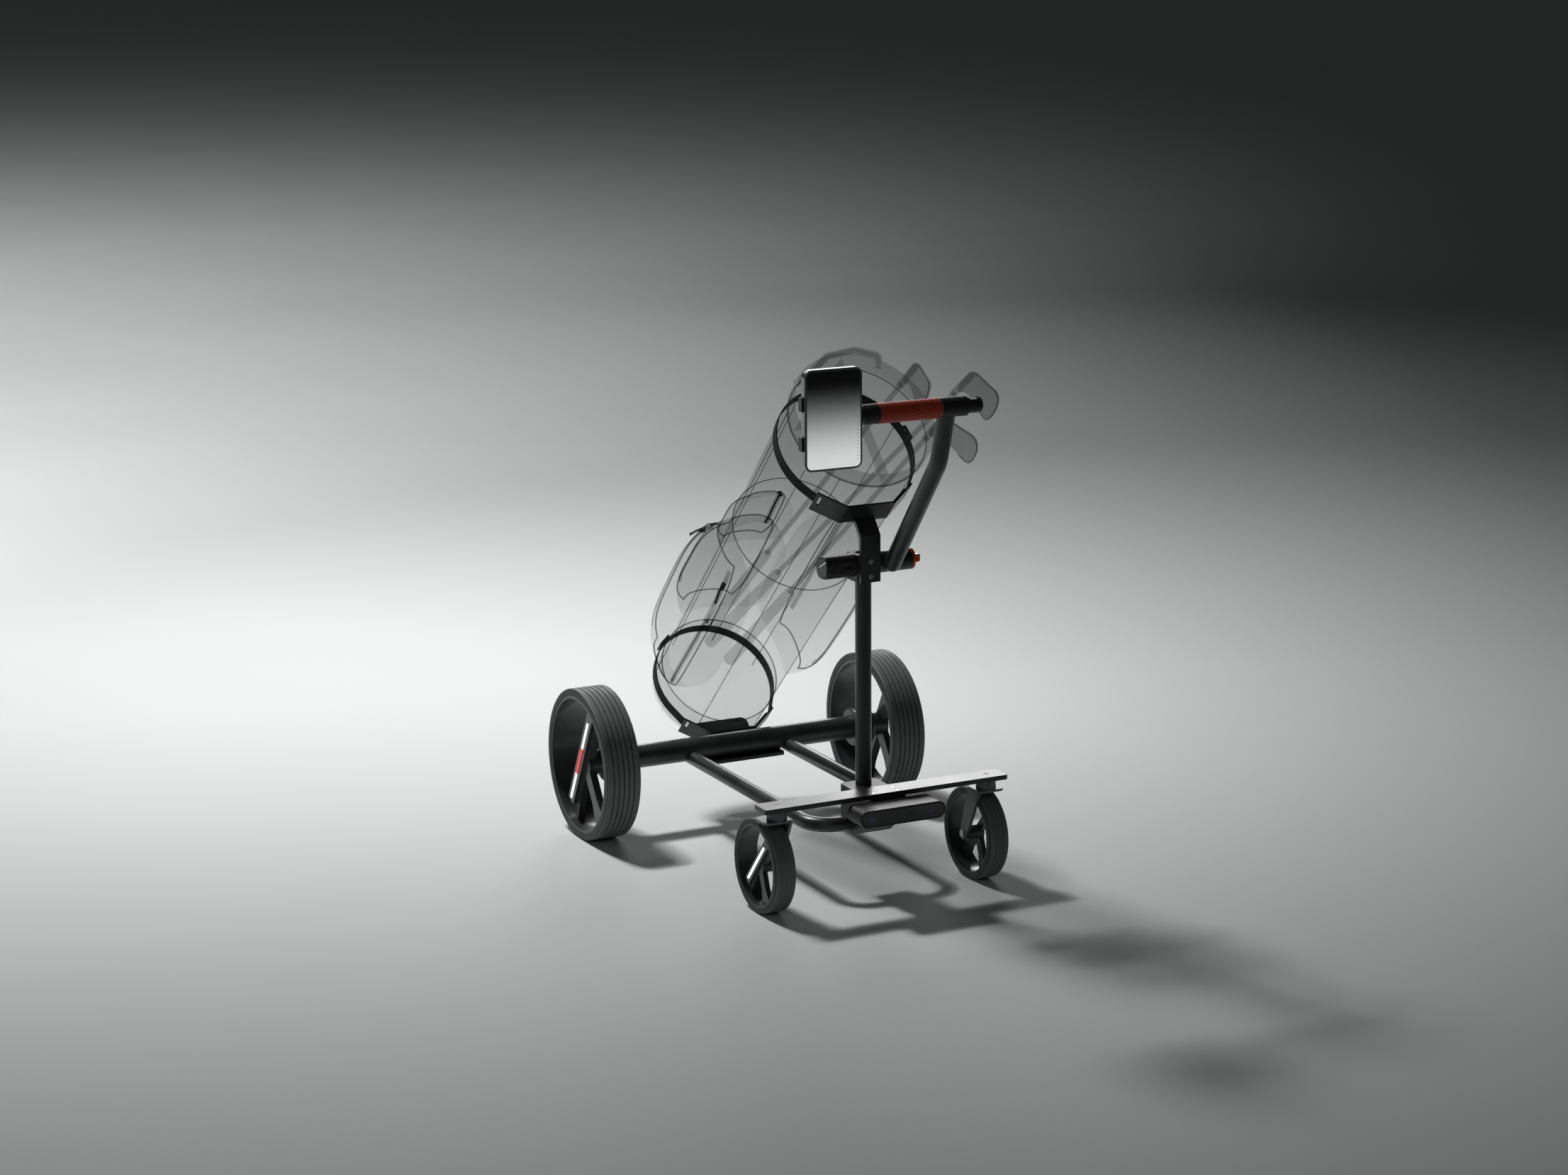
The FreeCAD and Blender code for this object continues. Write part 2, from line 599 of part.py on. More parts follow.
def strap_band(radius, flat_n, wing, s_mid):
    """Webbing from one wing's tip over the bag to the other's."""
    _, tip = cradle_line(flat_n, wing - 1.5, 0.0)
    reach = math.hypot(*tip)
    middle = radius + STRAP_THICK / 2
    touch = math.atan2(tip[1], tip[0]) + math.acos(middle / reach)
    s0 = s_mid - STRAP_WIDTH / 2
    hoop = ring((0, 0, s0), (0, 0, 1), radius + STRAP_THICK, radius, STRAP_WIDTH)
    far = 2 * radius
    keep = polygon([(far * math.cos(touch), far * math.sin(touch), s0), (far, far, s0), (-far, far, s0),
                    (-far * math.cos(touch), far * math.sin(touch), s0), (0, 0, s0)], (0, 0, STRAP_WIDTH))
    band = hoop.common(keep)
    contact = (middle * math.cos(touch), middle * math.sin(touch))
    run = (tip[0] - contact[0], tip[1] - contact[1])
    length = math.hypot(*run)
    side = (math.cos(touch) * STRAP_THICK / 2, math.sin(touch) * STRAP_THICK / 2)
    unit = (run[0] / length, run[1] / length)
    ends = []
    for sign in (-1, 1):
        outline = [(contact[0] - side[0], contact[1] - side[1]), (contact[0] + side[0], contact[1] + side[1]),
                   (contact[0] + side[0] + unit[0] * length, contact[1] + side[1] + unit[1] * length),
                   (contact[0] - side[0] + unit[0] * length, contact[1] - side[1] + unit[1] * length)]
        ends.append(polygon([(sign * x, n, s0) for x, n in outline], (0, 0, STRAP_WIDTH)))
    return fuse(band, *ends)


def buckle(radius, angle, s_mid):
    """Ladder-lock buckle round the webbing: a frame with a bar, at an angle round the bag."""
    half = STRAP_WIDTH / 2
    low = radius + STRAP_THICK + 0.3
    frame = rounded_box(low, low + 4.0, -15, 15, s_mid - half - 3, s_mid + half + 3, "x", 3)
    slot = box(low - 1, low + 5, -11, -3, s_mid - half, s_mid + half)
    second = box(low - 1, low + 5, 3, 11, s_mid - half, s_mid + half)
    frame = frame.cut(slot).cut(second)
    bar = box(radius + STRAP_THICK + 0.3, low + 0.5, -2, 2, s_mid - half - 2, s_mid + half + 2)
    whole = fuse(frame, bar)
    whole.rotate(V(0, 0, 0), V(0, 0, 1), angle)
    return whole


STRAP_R0 = BAG_BASE_R + STRAP_GAP
FOOT_STOP_THICK = 4.0


def tube_radius(s):
    """Bag tube's outer radius at a place along its length."""
    share = (s - BAG_BASE_S) / (BAG_TUBE_S - BAG_BASE_S)
    return BAG_TUBE_R0 + (BAG_TUBE_R1 - BAG_TUBE_R0) * share


UPPER_STRAP_R = tube_radius(UPPER_STRAP_S + STRAP_WIDTH / 2) + STRAP_GAP


def slotted(plate, flat_n, wing, s_mid):
    """Cradle plate with a strap slot just inside each wing's tip."""
    angle = math.radians(CRADLE_WING_ANGLE)
    for side in (-1, 1):
        reach = wing - 9.0
        x = CRADLE_HALF + reach * math.cos(angle)
        n = -flat_n + reach * math.sin(angle)
        slot = box(-2.2, 2.2, -12, 12, s_mid - STRAP_WIDTH / 2 - 1, s_mid + STRAP_WIDTH / 2 + 1)
        slot.rotate(V(0, 0, 0), V(0, 0, 1), side * CRADLE_WING_ANGLE)
        slot.translate(V(side * x, n, 0))
        plate = plate.cut(slot)
    return plate


def lower_cradle():
    """Cradle on the axle, its pads, the stop under the bag and the strap."""
    s0, s1 = LOWER_CRADLE_S
    plate = cradle_plate(LOWER_CRADLE_N, CRADLE_WING, 0, CRADLE_PLATE, s0, s1)
    plate = slotted(plate, LOWER_CRADLE_N, CRADLE_WING, -14.0)
    rib = box(-34, 34, -LOWER_CRADLE_N - 30, -LOWER_CRADLE_N - CRADLE_PLATE + 0.5, s0 + 2, s1 - 4)
    whole = in_bag(fuse(plate, rib)).cut(axle_cylinder(AXLE_R + SEAT_GAP))
    below = box(-100, 100, AXLE_Y - 200, AXLE_Y + 200, 0, AXLE_Z - AXLE_R + 3)
    solids = whole.cut(below).Solids
    node("lower_cradle", max(solids, key=lambda solid: solid.Volume))
    node("lower_cradle_pads", in_bag(wing_pads(LOWER_CRADLE_N, CRADLE_WING, 6, 44, s0 + 5, s1 - 5)))
    stop_s1 = BAG_BASE_S - SIDE_GAP
    stop_s0 = stop_s1 - FOOT_STOP_THICK
    stop = rounded_box(-58, 58, -LOWER_CRADLE_N, -70, stop_s0, stop_s1, "z", 14)
    tongue = box(-58, 58, -LOWER_CRADLE_N - CRADLE_PLATE, -LOWER_CRADLE_N + 12, stop_s0, stop_s1)
    floor = box(-44, 44, -LOWER_CRADLE_N - CRADLE_PLATE, -LOWER_CRADLE_N - 0.4, stop_s0, s0 - SEAT_GAP)
    node("bag_foot_stop", in_bag(fuse(stop, tongue, floor)))
    solid_plate = cradle_plate(LOWER_CRADLE_N, CRADLE_WING, -SEAT_GAP, CRADLE_PLATE, s0 - 9, s1 + 9)
    node("lower_strap", in_bag(strap_band(STRAP_R0, LOWER_CRADLE_N, CRADLE_WING, -14.0).cut(solid_plate)))
    node("lower_strap_buckle", in_bag(buckle(STRAP_R0, 128, -14.0)))


CLAMP_HALF_X = 22.0
CLAMP_Y0 = 28.3
CLAMP_Y1 = 74.0
CLAMP_Z0 = 571.0
CLAMP_Z1 = 620.0
STEM_HALF_X = 19.5
STEM_Y0 = 22.0
STEM_BEND_Z = BAG_FOOT_Z + 398.7


def upper_cradle():
    """Clamp on the upright, the stem in front of it, and the upper cradle with its strap."""
    clamp = rounded_box(-CLAMP_HALF_X, CLAMP_HALF_X, CLAMP_Y0, CLAMP_Y1, CLAMP_Z0, CLAMP_Z1, "z", 6)
    clamp = clamp.cut(rod((0, UPRIGHT_Y, CLAMP_Z0 - 1), (0, 0, 1), UPRIGHT_R + SEAT_GAP, 100))
    pin_hole = rod((CLAMP_HALF_X - 5, HINGE_Y, HINGE_Z), (1, 0, 0), SHAFT_R + SEAT_GAP, 10)
    clamp = clamp.cut(pin_hole)
    s0, s1 = UPPER_CRADLE_S
    thick = CLAMP_Y0 - SEAT_GAP - STEM_Y0
    rise = 60.0
    slant = math.radians(39.3)
    out_y = rise * math.sin(slant)
    out_z = rise * math.cos(slant)
    outline = [(-STEM_HALF_X, STEM_Y0, CLAMP_Z0), (-STEM_HALF_X, STEM_Y0, STEM_BEND_Z),
               (-STEM_HALF_X, STEM_Y0 + out_y, STEM_BEND_Z + out_z),
               (-STEM_HALF_X, STEM_Y0 + out_y + thick, STEM_BEND_Z + out_z - thick),
               (-STEM_HALF_X, STEM_Y0 + thick, STEM_BEND_Z - 3), (-STEM_HALF_X, STEM_Y0 + thick, CLAMP_Z0)]
    stem = polygon(outline, (2 * STEM_HALF_X, 0, 0))
    above = in_bag(box(-60, 60, -UPPER_CRADLE_N - CRADLE_PLATE - SEAT_GAP, 100, s0 - 100, s1 + 100))
    stem = max(stem.cut(above).Solids, key=lambda solid: solid.Volume)
    screws = []
    for z in (582.0, 609.0):
        hole = rod((0, STEM_Y0 - 1, z), (0, 1, 0), SCREW_R + SEAT_GAP, 12)
        stem = stem.cut(hole)
        clamp = clamp.cut(hole)
        screws.append(screw((0, STEM_Y0, z), (0, -1, 0), 9.0))
    node("upright_clamp", clamp)
    node("cradle_stem", stem)
    plate = cradle_plate(UPPER_CRADLE_N, UPPER_WING, 0, CRADLE_PLATE, s0, s1)
    node("upper_cradle", in_bag(slotted(plate, UPPER_CRADLE_N, UPPER_WING, UPPER_STRAP_S)))
    node("upper_cradle_pads", in_bag(wing_pads(UPPER_CRADLE_N, UPPER_WING, 4, 43, s0 + 5, s1 - 5)))
    solid_plate = cradle_plate(UPPER_CRADLE_N, UPPER_WING, -SEAT_GAP, CRADLE_PLATE, s0, s1 + 9)
    band = strap_band(UPPER_STRAP_R, UPPER_CRADLE_N, UPPER_WING, UPPER_STRAP_S)
    node("upper_strap", in_bag(band.cut(solid_plate)))
    node("upper_strap_buckle", in_bag(buckle(UPPER_STRAP_R, 8, UPPER_STRAP_S)))
    return screws


# ---- handle hinge -------------------------------------------------------
LEVER_PIN_R = 5.0
LEVER_THICK = 5.4
LEVER_TAB = 16.0


def hinge():
    """Control box with its push button on the left, shaft and locking lever on the right."""
    half_z = CONTROL_HEIGHT / 2
    half_y = CONTROL_DEPTH / 2
    shell = rounded_box(CONTROL_X0, CONTROL_X1, HINGE_Y - half_y, HINGE_Y + half_y, HINGE_Z - half_z,
                        HINGE_Z + half_z, "x", 16)
    shell = fillet(shell, 2.5, lambda edge: abs(edge.CenterOfMass.x - CONTROL_X0) < 0.01)
    front = HINGE_Y - half_y
    panel = rounded_box(CONTROL_X0 + 8, CONTROL_X1 - 6, front - 2, front + 1.2, HINGE_Z - 11, HINGE_Z + 11, "y", 10)
    button_hole = rod((BUTTON_X, front - 2, HINGE_Z), (0, 1, 0), BUTTON_R + 0.4, 12)
    slot = rounded_box(BUTTON_X + 13, BUTTON_X + 29, front - 2, front + 4, HINGE_Z - 2.5, HINGE_Z + 2.5, "y", 2.4)
    node("control_box", shell.cut(panel).cut(button_hole).cut(slot))
    cap = rod((BUTTON_X, front - 1.0, HINGE_Z), (0, 1, 0), BUTTON_R, 8)
    node("control_button", fillet(cap, 1.0, lambda edge: edge.CenterOfMass.y < front - 0.9))
    shaft_x0 = CLAMP_HALF_X - 5
    shaft = rod((shaft_x0, HINGE_Y, HINGE_Z), (1, 0, 0), SHAFT_R, SLEEVE_X1 - shaft_x0)
    lever_x0 = SLEEVE_X1 + SIDE_GAP
    pin = rod((SLEEVE_X1 - 1, HINGE_Y, HINGE_Z), (1, 0, 0), LEVER_PIN_R, LEVER_THICK)
    node("hinge_shaft", fuse(shaft, pin))
    disc = rod((lever_x0, HINGE_Y, HINGE_Z), (1, 0, 0), SLEEVE_R, LEVER_THICK)
    disc = fillet(disc, 1.2, lambda edge: isinstance(edge.Curve, Part.Circle))
    tab = rounded_box(lever_x0 + LEVER_THICK - 1, lever_x0 + LEVER_THICK + LEVER_TAB, HINGE_Y - 4, HINGE_Y + 4,
                      HINGE_Z - 7, HINGE_Z + 7, "y", 3)
    hole = rod((lever_x0 - 1, HINGE_Y, HINGE_Z), (1, 0, 0), LEVER_PIN_R + RUN_FIT, LEVER_THICK)
    node("lock_lever", fuse(disc, tab).cut(hole))


# ---- handle -------------------------------------------------------------
def handle():
    """Hinge sleeve, bent handle tube, grip bar with grip and collars, thumb control."""
    sleeve = ring((SLEEVE_X0, HINGE_Y, HINGE_Z), (1, 0, 0), SLEEVE_R, SHAFT_R + RUN_FIT, SLEEVE_X1 - SLEEVE_X0)
    foot = (HANDLE_X,) + HANDLE_FOOT
    knee = (HANDLE_X,) + HANDLE_KNEE
    top = (HANDLE_X, GRIP_BAR_Y, GRIP_BAR_Z)
    route = [foot, knee, top]
    tube = bent_tube(route, HANDLE_BEND, HANDLE_R, HANDLE_WALL)
    cap = Part.makeSphere(HANDLE_R, V(*foot))
    core = swept(route, HANDLE_BEND, HANDLE_R)
    sleeve_space = rod((SLEEVE_X0 - 5, HINGE_Y, HINGE_Z), (1, 0, 0), SLEEVE_R + SEAT_GAP, SLEEVE_X1 - SLEEVE_X0 + 10)
    bar_space = rod((-300, GRIP_BAR_Y, GRIP_BAR_Z), (1, 0, 0), GRIP_BAR_R + SEAT_GAP, 600)
    tube = fuse(tube, cap.cut(core)).cut(sleeve_space).cut(bar_space)
    node("handle_tube", max(tube.Solids, key=lambda solid: solid.Volume))
    node("hinge_sleeve", sleeve)
    start = (GRIP_BAR_X0, GRIP_BAR_Y, GRIP_BAR_Z)
    node("grip_bar", ring(start, (1, 0, 0), GRIP_BAR_R, GRIP_BAR_R - GRIP_BAR_WALL, GRIP_BAR_X1 - GRIP_BAR_X0))
    grip = ring((GRIP_X0 + 0.2, GRIP_BAR_Y, GRIP_BAR_Z), (1, 0, 0), GRIP_BAR_R + GRIP_THICK, GRIP_BAR_R + SEAT_GAP,
                GRIP_X1 - GRIP_X0 - 0.4)
    node("handle_grip", grip)
    left = ring((LEFT_COLLAR_X0, GRIP_BAR_Y, GRIP_BAR_Z), (1, 0, 0), GRIP_BAR_R + COLLAR_THICK,
                GRIP_BAR_R + SEAT_GAP, GRIP_X0 - LEFT_COLLAR_X0)
    right = ring((GRIP_X1, GRIP_BAR_Y, GRIP_BAR_Z), (1, 0, 0), GRIP_BAR_R + COLLAR_THICK, GRIP_BAR_R + SEAT_GAP,
                 GRIP_BAR_X1 - GRIP_X1)
    socket = swept(route, HANDLE_BEND, HANDLE_R + SEAT_GAP)
    node("grip_collars", group(left, right.cut(socket)))
    x0 = GRIP_BAR_X1 + SIDE_GAP / 2
    dial = rod((x0, GRIP_BAR_Y, GRIP_BAR_Z), (1, 0, 0), THUMB_R, THUMB_LENGTH)
    dial = fillet(dial, 4.0, lambda edge: edge.CenterOfMass.x > x0 + THUMB_LENGTH - 0.1)
    flat = box(x0 + 6, x0 + THUMB_LENGTH - 5, GRIP_BAR_Y - 20, GRIP_BAR_Y + 20, GRIP_BAR_Z + THUMB_R - 2.5,
               GRIP_BAR_Z + 30)
    spigot = rod((x0 - 22, GRIP_BAR_Y, GRIP_BAR_Z), (1, 0, 0), GRIP_BAR_R - GRIP_BAR_WALL - RUN_FIT, 23)
    node("thumb_control", fuse(dial.cut(flat), spigot))


# ---- display ------------------------------------------------------------
BEZEL = 4.0
GLASS_THICK = 1.6
BRACKET_X0 = -158.0
BRACKET_X1 = -130.0
BRACKET_WALL = 5.0
CLIP_HEIGHT = 24.0


def display():
    """Screen case and its glass, side clips, and the bracket that grips the bar."""
    x0 = DISPLAY_X - DISPLAY_WIDTH / 2
    x1 = DISPLAY_X + DISPLAY_WIDTH / 2
    z0 = DISPLAY_Z - DISPLAY_HEIGHT / 2
    z1 = DISPLAY_Z + DISPLAY_HEIGHT / 2
    back = DISPLAY_FRONT_Y + DISPLAY_DEPTH
    case = rounded_box(x0, x1, DISPLAY_FRONT_Y, back, z0, z1, "y", DISPLAY_CORNER)
    case = fillet(case, 2.0, lambda edge: abs(edge.CenterOfMass.y - DISPLAY_FRONT_Y) < 0.01)
    case = fillet(case, 4.0, lambda edge: abs(edge.CenterOfMass.y - back) < 0.01)
    glass = rounded_box(x0 + BEZEL, x1 - BEZEL, DISPLAY_FRONT_Y + 0.1, DISPLAY_FRONT_Y + GLASS_THICK, z0 + BEZEL,
                        z1 - BEZEL, "y", DISPLAY_CORNER - BEZEL)
    seat = rounded_box(x0 + BEZEL - SEAT_GAP, x1 - BEZEL + SEAT_GAP, DISPLAY_FRONT_Y - 1,
                       DISPLAY_FRONT_Y + GLASS_THICK + SEAT_GAP, z0 + BEZEL - SEAT_GAP, z1 - BEZEL + SEAT_GAP, "y",
                       DISPLAY_CORNER - BEZEL + SEAT_GAP)
    case = case.cut(seat)
    clips = []
    for middle in (-38.0, 28.0):
        z = DISPLAY_Z + middle
        clips.append(rounded_box(x0 - 4.5, x0 - SEAT_GAP, DISPLAY_FRONT_Y + 3, back - 1, z - CLIP_HEIGHT / 2,
                                 z + CLIP_HEIGHT / 2, "y", 2))
    node("display_case", case)
    node("display_glass", glass)
    node("display_clips", group(*clips))
    length = BRACKET_X1 - BRACKET_X0
    outer = GRIP_BAR_R + BRACKET_WALL
    saddle = rod((BRACKET_X0, GRIP_BAR_Y, GRIP_BAR_Z), (1, 0, 0), outer, length)
    pad = rounded_box(BRACKET_X0 - 20, BRACKET_X1 - 8, back + SEAT_GAP, back + 6, GRIP_BAR_Z - 24, GRIP_BAR_Z + 24,
                      "y", 6)
    hole = rod((BRACKET_X0 - 40, GRIP_BAR_Y, GRIP_BAR_Z), (1, 0, 0), GRIP_BAR_R + RUN_FIT, length + 60)
    bracket = fuse(saddle, pad).cut(hole)
    room = box(-400, 0, DISPLAY_FRONT_Y - 50, back + SEAT_GAP, GRIP_BAR_Z - 100, GRIP_BAR_Z + 100)
    bracket = bracket.cut(room)
    node("display_bracket", max(bracket.Solids, key=lambda solid: solid.Volume))


# ---- bag ----------------------------------------------------------------
def tapered(radius0, radius1, s0, s1):
    """Cone frustum along the bag's axis."""
    return Part.makeCone(radius0, radius1, s1 - s0, V(0, 0, s0), V(0, 0, 1))


def tube_solid(offset):
    """The bag tube's outer form, grown by an offset."""
    return tapered(tube_radius(BAG_BASE_S) + offset, tube_radius(BAG_TUBE_S + 60) + offset, BAG_BASE_S,
                   BAG_TUBE_S + 60)


def bag_shell():
    """Tube with an open mouth, moulded base cup, and moulded collar with dividers and a lift handle."""
    cup = rod((0, 0, BAG_BASE_S), (0, 0, 1), BAG_BASE_R, CUP_TOP_S - BAG_BASE_S)
    cup = fillet(cup, 8, lambda edge: abs(edge.CenterOfMass.z - BAG_BASE_S) < 0.01)
    floor = BAG_BASE_S + 4.0
    hollow = tapered(tube_radius(floor) + SEAT_GAP, tube_radius(CUP_TOP_S + 10) + SEAT_GAP, floor, CUP_TOP_S + 10)
    node("bag_base_cup", in_bag(cup.cut(hollow)))
    start = floor + SEAT_GAP
    outer = tapered(tube_radius(start), tube_radius(BAG_TUBE_S), start, BAG_TUBE_S)
    inner = tapered(tube_radius(start) - BAG_WALL, tube_radius(BAG_TUBE_S + 10) - BAG_WALL, start + BAG_WALL,
                    BAG_TUBE_S + 10)
    node("bag_tube", in_bag(outer.cut(inner)))
    collar_s0 = BAG_TUBE_S + SEAT_GAP
    collar_s1 = BAG_TUBE_S + COLLAR_HEIGHT
    collar = ring((0, 0, collar_s0), (0, 0, 1), COLLAR_R, COLLAR_R - COLLAR_WALL, COLLAR_HEIGHT - SEAT_GAP)
    collar = fillet(collar, 2.0, lambda edge: abs(edge.CenterOfMass.z - collar_s1) < 0.01)
    inside = COLLAR_R - COLLAR_WALL + 1
    cross = box(-inside, inside, -DIVIDER_THICK / 2, DIVIDER_THICK / 2, collar_s0 + 4, collar_s1 - 6)
    up = box(-DIVIDER_THICK / 2, DIVIDER_THICK / 2, -inside, inside, collar_s0 + 4, collar_s1 - 6)
    places = [(COLLAR_R - 3, collar_s1 - 12, 140), (LIFT_ARC_R, LIFT_S, 134), (LIFT_ARC_R + 3, LIFT_S, 112),
              (LIFT_ARC_R + 3, LIFT_S, 84), (LIFT_ARC_R, LIFT_S, 62), (COLLAR_R - 3, collar_s1 - 12, 56)]
    path = [(r * math.cos(math.radians(a)), r * math.sin(math.radians(a)), s) for r, s, a in places]
    lift = bent_tube(path, 14, LIFT_R, LIFT_WALL)
    node("bag_top_collar", in_bag(fuse(collar, cross, up, lift)))


def side_pocket(side):
    """Full-length pocket round one side of the bag."""
    depth = POCKET_HALF_X
    block = box(40, depth, POCKET_N0, POCKET_N1, POCKET_S0, POCKET_S1)
    block = fillet(block, 42, lambda edge: along(edge, "z") and edge.CenterOfMass.x > depth - 1)
    block = fillet(block, 24, lambda edge: edge.CenterOfMass.x > 60
                   and (abs(edge.CenterOfMass.z - POCKET_S1) < 0.01 or abs(edge.CenterOfMass.z - POCKET_S0) < 0.01))
    block = block.cut(tube_solid(STRAP_GAP))
    whole = max(block.Solids, key=lambda solid: solid.Volume)
    return whole if side > 0 else mirrored(whole)


def front_pockets():
    """Two stacked pockets on the bag's upper side."""
    gap = 4.0
    pieces = []
    split = FRONT_SPLIT_S
    for s0, s1, half, top in ((POCKET_S0 + 8, split, FRONT_POCKET_HALF_X, FRONT_POCKET_N),
                              (split + gap, FRONT_TOP_S, HIGH_POCKET_HALF_X, FRONT_POCKET_N - 14)):
        block = box(-half, half, 60, top, s0, s1)
        block = fillet(block, 20, lambda edge: along(edge, "z") and edge.CenterOfMass.y > 100)
        block = fillet(block, 16, lambda edge: edge.CenterOfMass.y > 70
                       and (abs(edge.CenterOfMass.z - s0) < 0.01 or abs(edge.CenterOfMass.z - s1) < 0.01))
        block = block.cut(tube_solid(STRAP_GAP))
        for side in (1, -1):
            beside = side_pocket(side)
            block = block.cut(moved(beside, -side * POCKET_GAP, 0, 0)).cut(moved(beside, 0, POCKET_GAP, 0))
        pieces.append(max(block.Solids, key=lambda solid: solid.Volume))
    return group(*pieces)


def bag():
    """Whole bag."""
    bag_shell()
    node("bag_left_pocket", in_bag(side_pocket(-1)))
    node("bag_right_pocket", in_bag(side_pocket(1)))
    node("bag_front_pockets", in_bag(front_pockets()))


# ---- clubs --------------------------------------------------------------
SHAFT_CLUB_R = 4.6
CLUB_GRIP_R = 12.5
CLUB_GRIP_LENGTH = 265.0
HOSEL_R = 6.6
HOSEL_LENGTH = 60.0
FERRULE_GAP = 0.02

# point (x, n, s past the tube's end), slopes dx/ds and dn/ds, s of grip end, heel past the tube's end, twist
CLUBS = {
    "iron_short": ((88.0, -70.0, 35.0), (0.13, -0.06), 100.0, 105.0, 18.0),
    "iron_middle": ((55.0, 20.0, 56.0), (0.10, -0.05), 105.0, 145.0, -15.0),
    "iron_long": ((89.4, -30.4, -32.5), (0.20, -0.06), 117.5, 190.5, 0.0),
}


def iron_head():
    """Blade and hosel in the club's frame: shaft line +Z, toe towards -Y, heel at the origin."""
    sole = 78.0
    along_p, along_w = math.sin(math.radians(62)), math.cos(math.radians(62))
    heel = (-4.0, 6.0)
    toe = (heel[0] + sole * along_p, heel[1] + sole * along_w)
    high_toe = (toe[0] + 48 * along_w, toe[1] - 48 * along_p)
    low_heel = (8.0, -18.0)
    outline = [(0, -p, w) for p, w in (heel, toe, high_toe, low_heel)]
    blade = polygon(outline, (7.0, 0, 0))
    blade.translate(V(-3.5, 0, 0))
    blade = fillet(blade, 13.0, lambda edge: along(edge, "x") and edge.CenterOfMass.y < -20)
    blade = fillet(blade, 2.0, lambda edge: abs(edge.CenterOfMass.x) > 3.4)
    hosel = rod((0, 0, -HOSEL_LENGTH), (0, 0, 1), HOSEL_R, HOSEL_LENGTH + 2)
    return fuse(blade, hosel)


def club(point, slopes, s_grip, heel_past, twist):
    """One iron: head, steel shaft and rubber grip on one line."""
    direction = V(slopes[0], slopes[1], 1)
    mouth = V(point[0], point[1], BAG_TUBE_S + point[2])
    start = mouth + direction * (s_grip - mouth.z)
    end = mouth + direction * (heel_past - point[2])
    line = (end - start).normalize()
    shaft_end = end - line * (HOSEL_LENGTH + FERRULE_GAP)
    head = iron_head()
    head.rotate(V(0, 0, 0), V(0, 0, 1), twist)
    head.Placement = FreeCAD.Placement(end, FreeCAD.Rotation(V(0, 0, 1), line)).multiply(head.Placement)
    grip_end = start + line * CLUB_GRIP_LENGTH
    length = (shaft_end - start).Length
    shaft = Part.makeCylinder(SHAFT_CLUB_R, length - 3, start + line * 3, line)
    grip = Part.makeCone(CLUB_GRIP_R, CLUB_GRIP_R - 3.5, (grip_end - start).Length, start, line)
    grip = grip.cut(Part.makeCylinder(SHAFT_CLUB_R + SEAT_GAP, length, start + line * 2.9, line))
    return group(head, shaft, grip)


# ---- build and write ----------------------------------------------------
def main():
    """Build every node and write one STEP each."""
    base_frame()
    screws = cross_bar()
    sensor()
    big_wheels()
    caster("right", lambda shape: shape)
    caster("left", mirrored)
    lower_cradle()
    screws += upper_cradle()
    node("frame_screws", group(*screws))
    hinge()
    handle()
    display()
    bag()
    for name, values in CLUBS.items():
        node(name, in_bag(club(*values)))
    extent = group(*nodes.values()).optimalBoundingBox(False, False)
    origin = V(extent.Center.x, extent.Center.y, extent.ZMin)
    os.makedirs("parts", exist_ok=True)
    for name, shape in nodes.items():
        moved(shape, -origin.x, -origin.y, -origin.z).exportStep("parts/" + name + ".step")
    print("nodes", len(nodes), "origin", [round(value, 4) for value in origin], "size",
          [round(value, 3) for value in (extent.XLength, extent.YLength, extent.ZLength)])


main()
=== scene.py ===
import math

import bpy
from bpy.props import FloatProperty, FloatVectorProperty, IntProperty, PointerProperty
from mathutils import Matrix, Vector


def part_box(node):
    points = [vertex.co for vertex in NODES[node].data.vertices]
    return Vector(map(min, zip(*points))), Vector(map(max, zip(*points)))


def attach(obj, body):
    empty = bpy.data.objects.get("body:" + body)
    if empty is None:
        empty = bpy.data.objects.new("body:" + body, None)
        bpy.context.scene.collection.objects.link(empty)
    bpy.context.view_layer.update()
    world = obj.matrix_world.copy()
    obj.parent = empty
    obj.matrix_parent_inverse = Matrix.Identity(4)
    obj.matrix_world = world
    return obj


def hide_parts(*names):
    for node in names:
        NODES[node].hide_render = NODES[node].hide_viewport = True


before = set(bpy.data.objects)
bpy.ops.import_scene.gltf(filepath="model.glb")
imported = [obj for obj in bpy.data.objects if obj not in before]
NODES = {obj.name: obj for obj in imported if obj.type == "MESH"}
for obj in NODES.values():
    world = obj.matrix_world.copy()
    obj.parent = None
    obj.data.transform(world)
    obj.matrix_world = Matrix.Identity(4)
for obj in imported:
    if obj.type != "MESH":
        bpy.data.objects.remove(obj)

bl_info = {
    "name": "Golf bag on push cart",
    "version": (1, 0, 0),
    "blender": (4, 5, 0),
    "location": "View3D > Sidebar > Cart",
    "description": "Finishes, cloth, trim, lamps and stage for a golf bag on a four-wheeled push cart",
    "category": "Object",
}

MM = 0.001


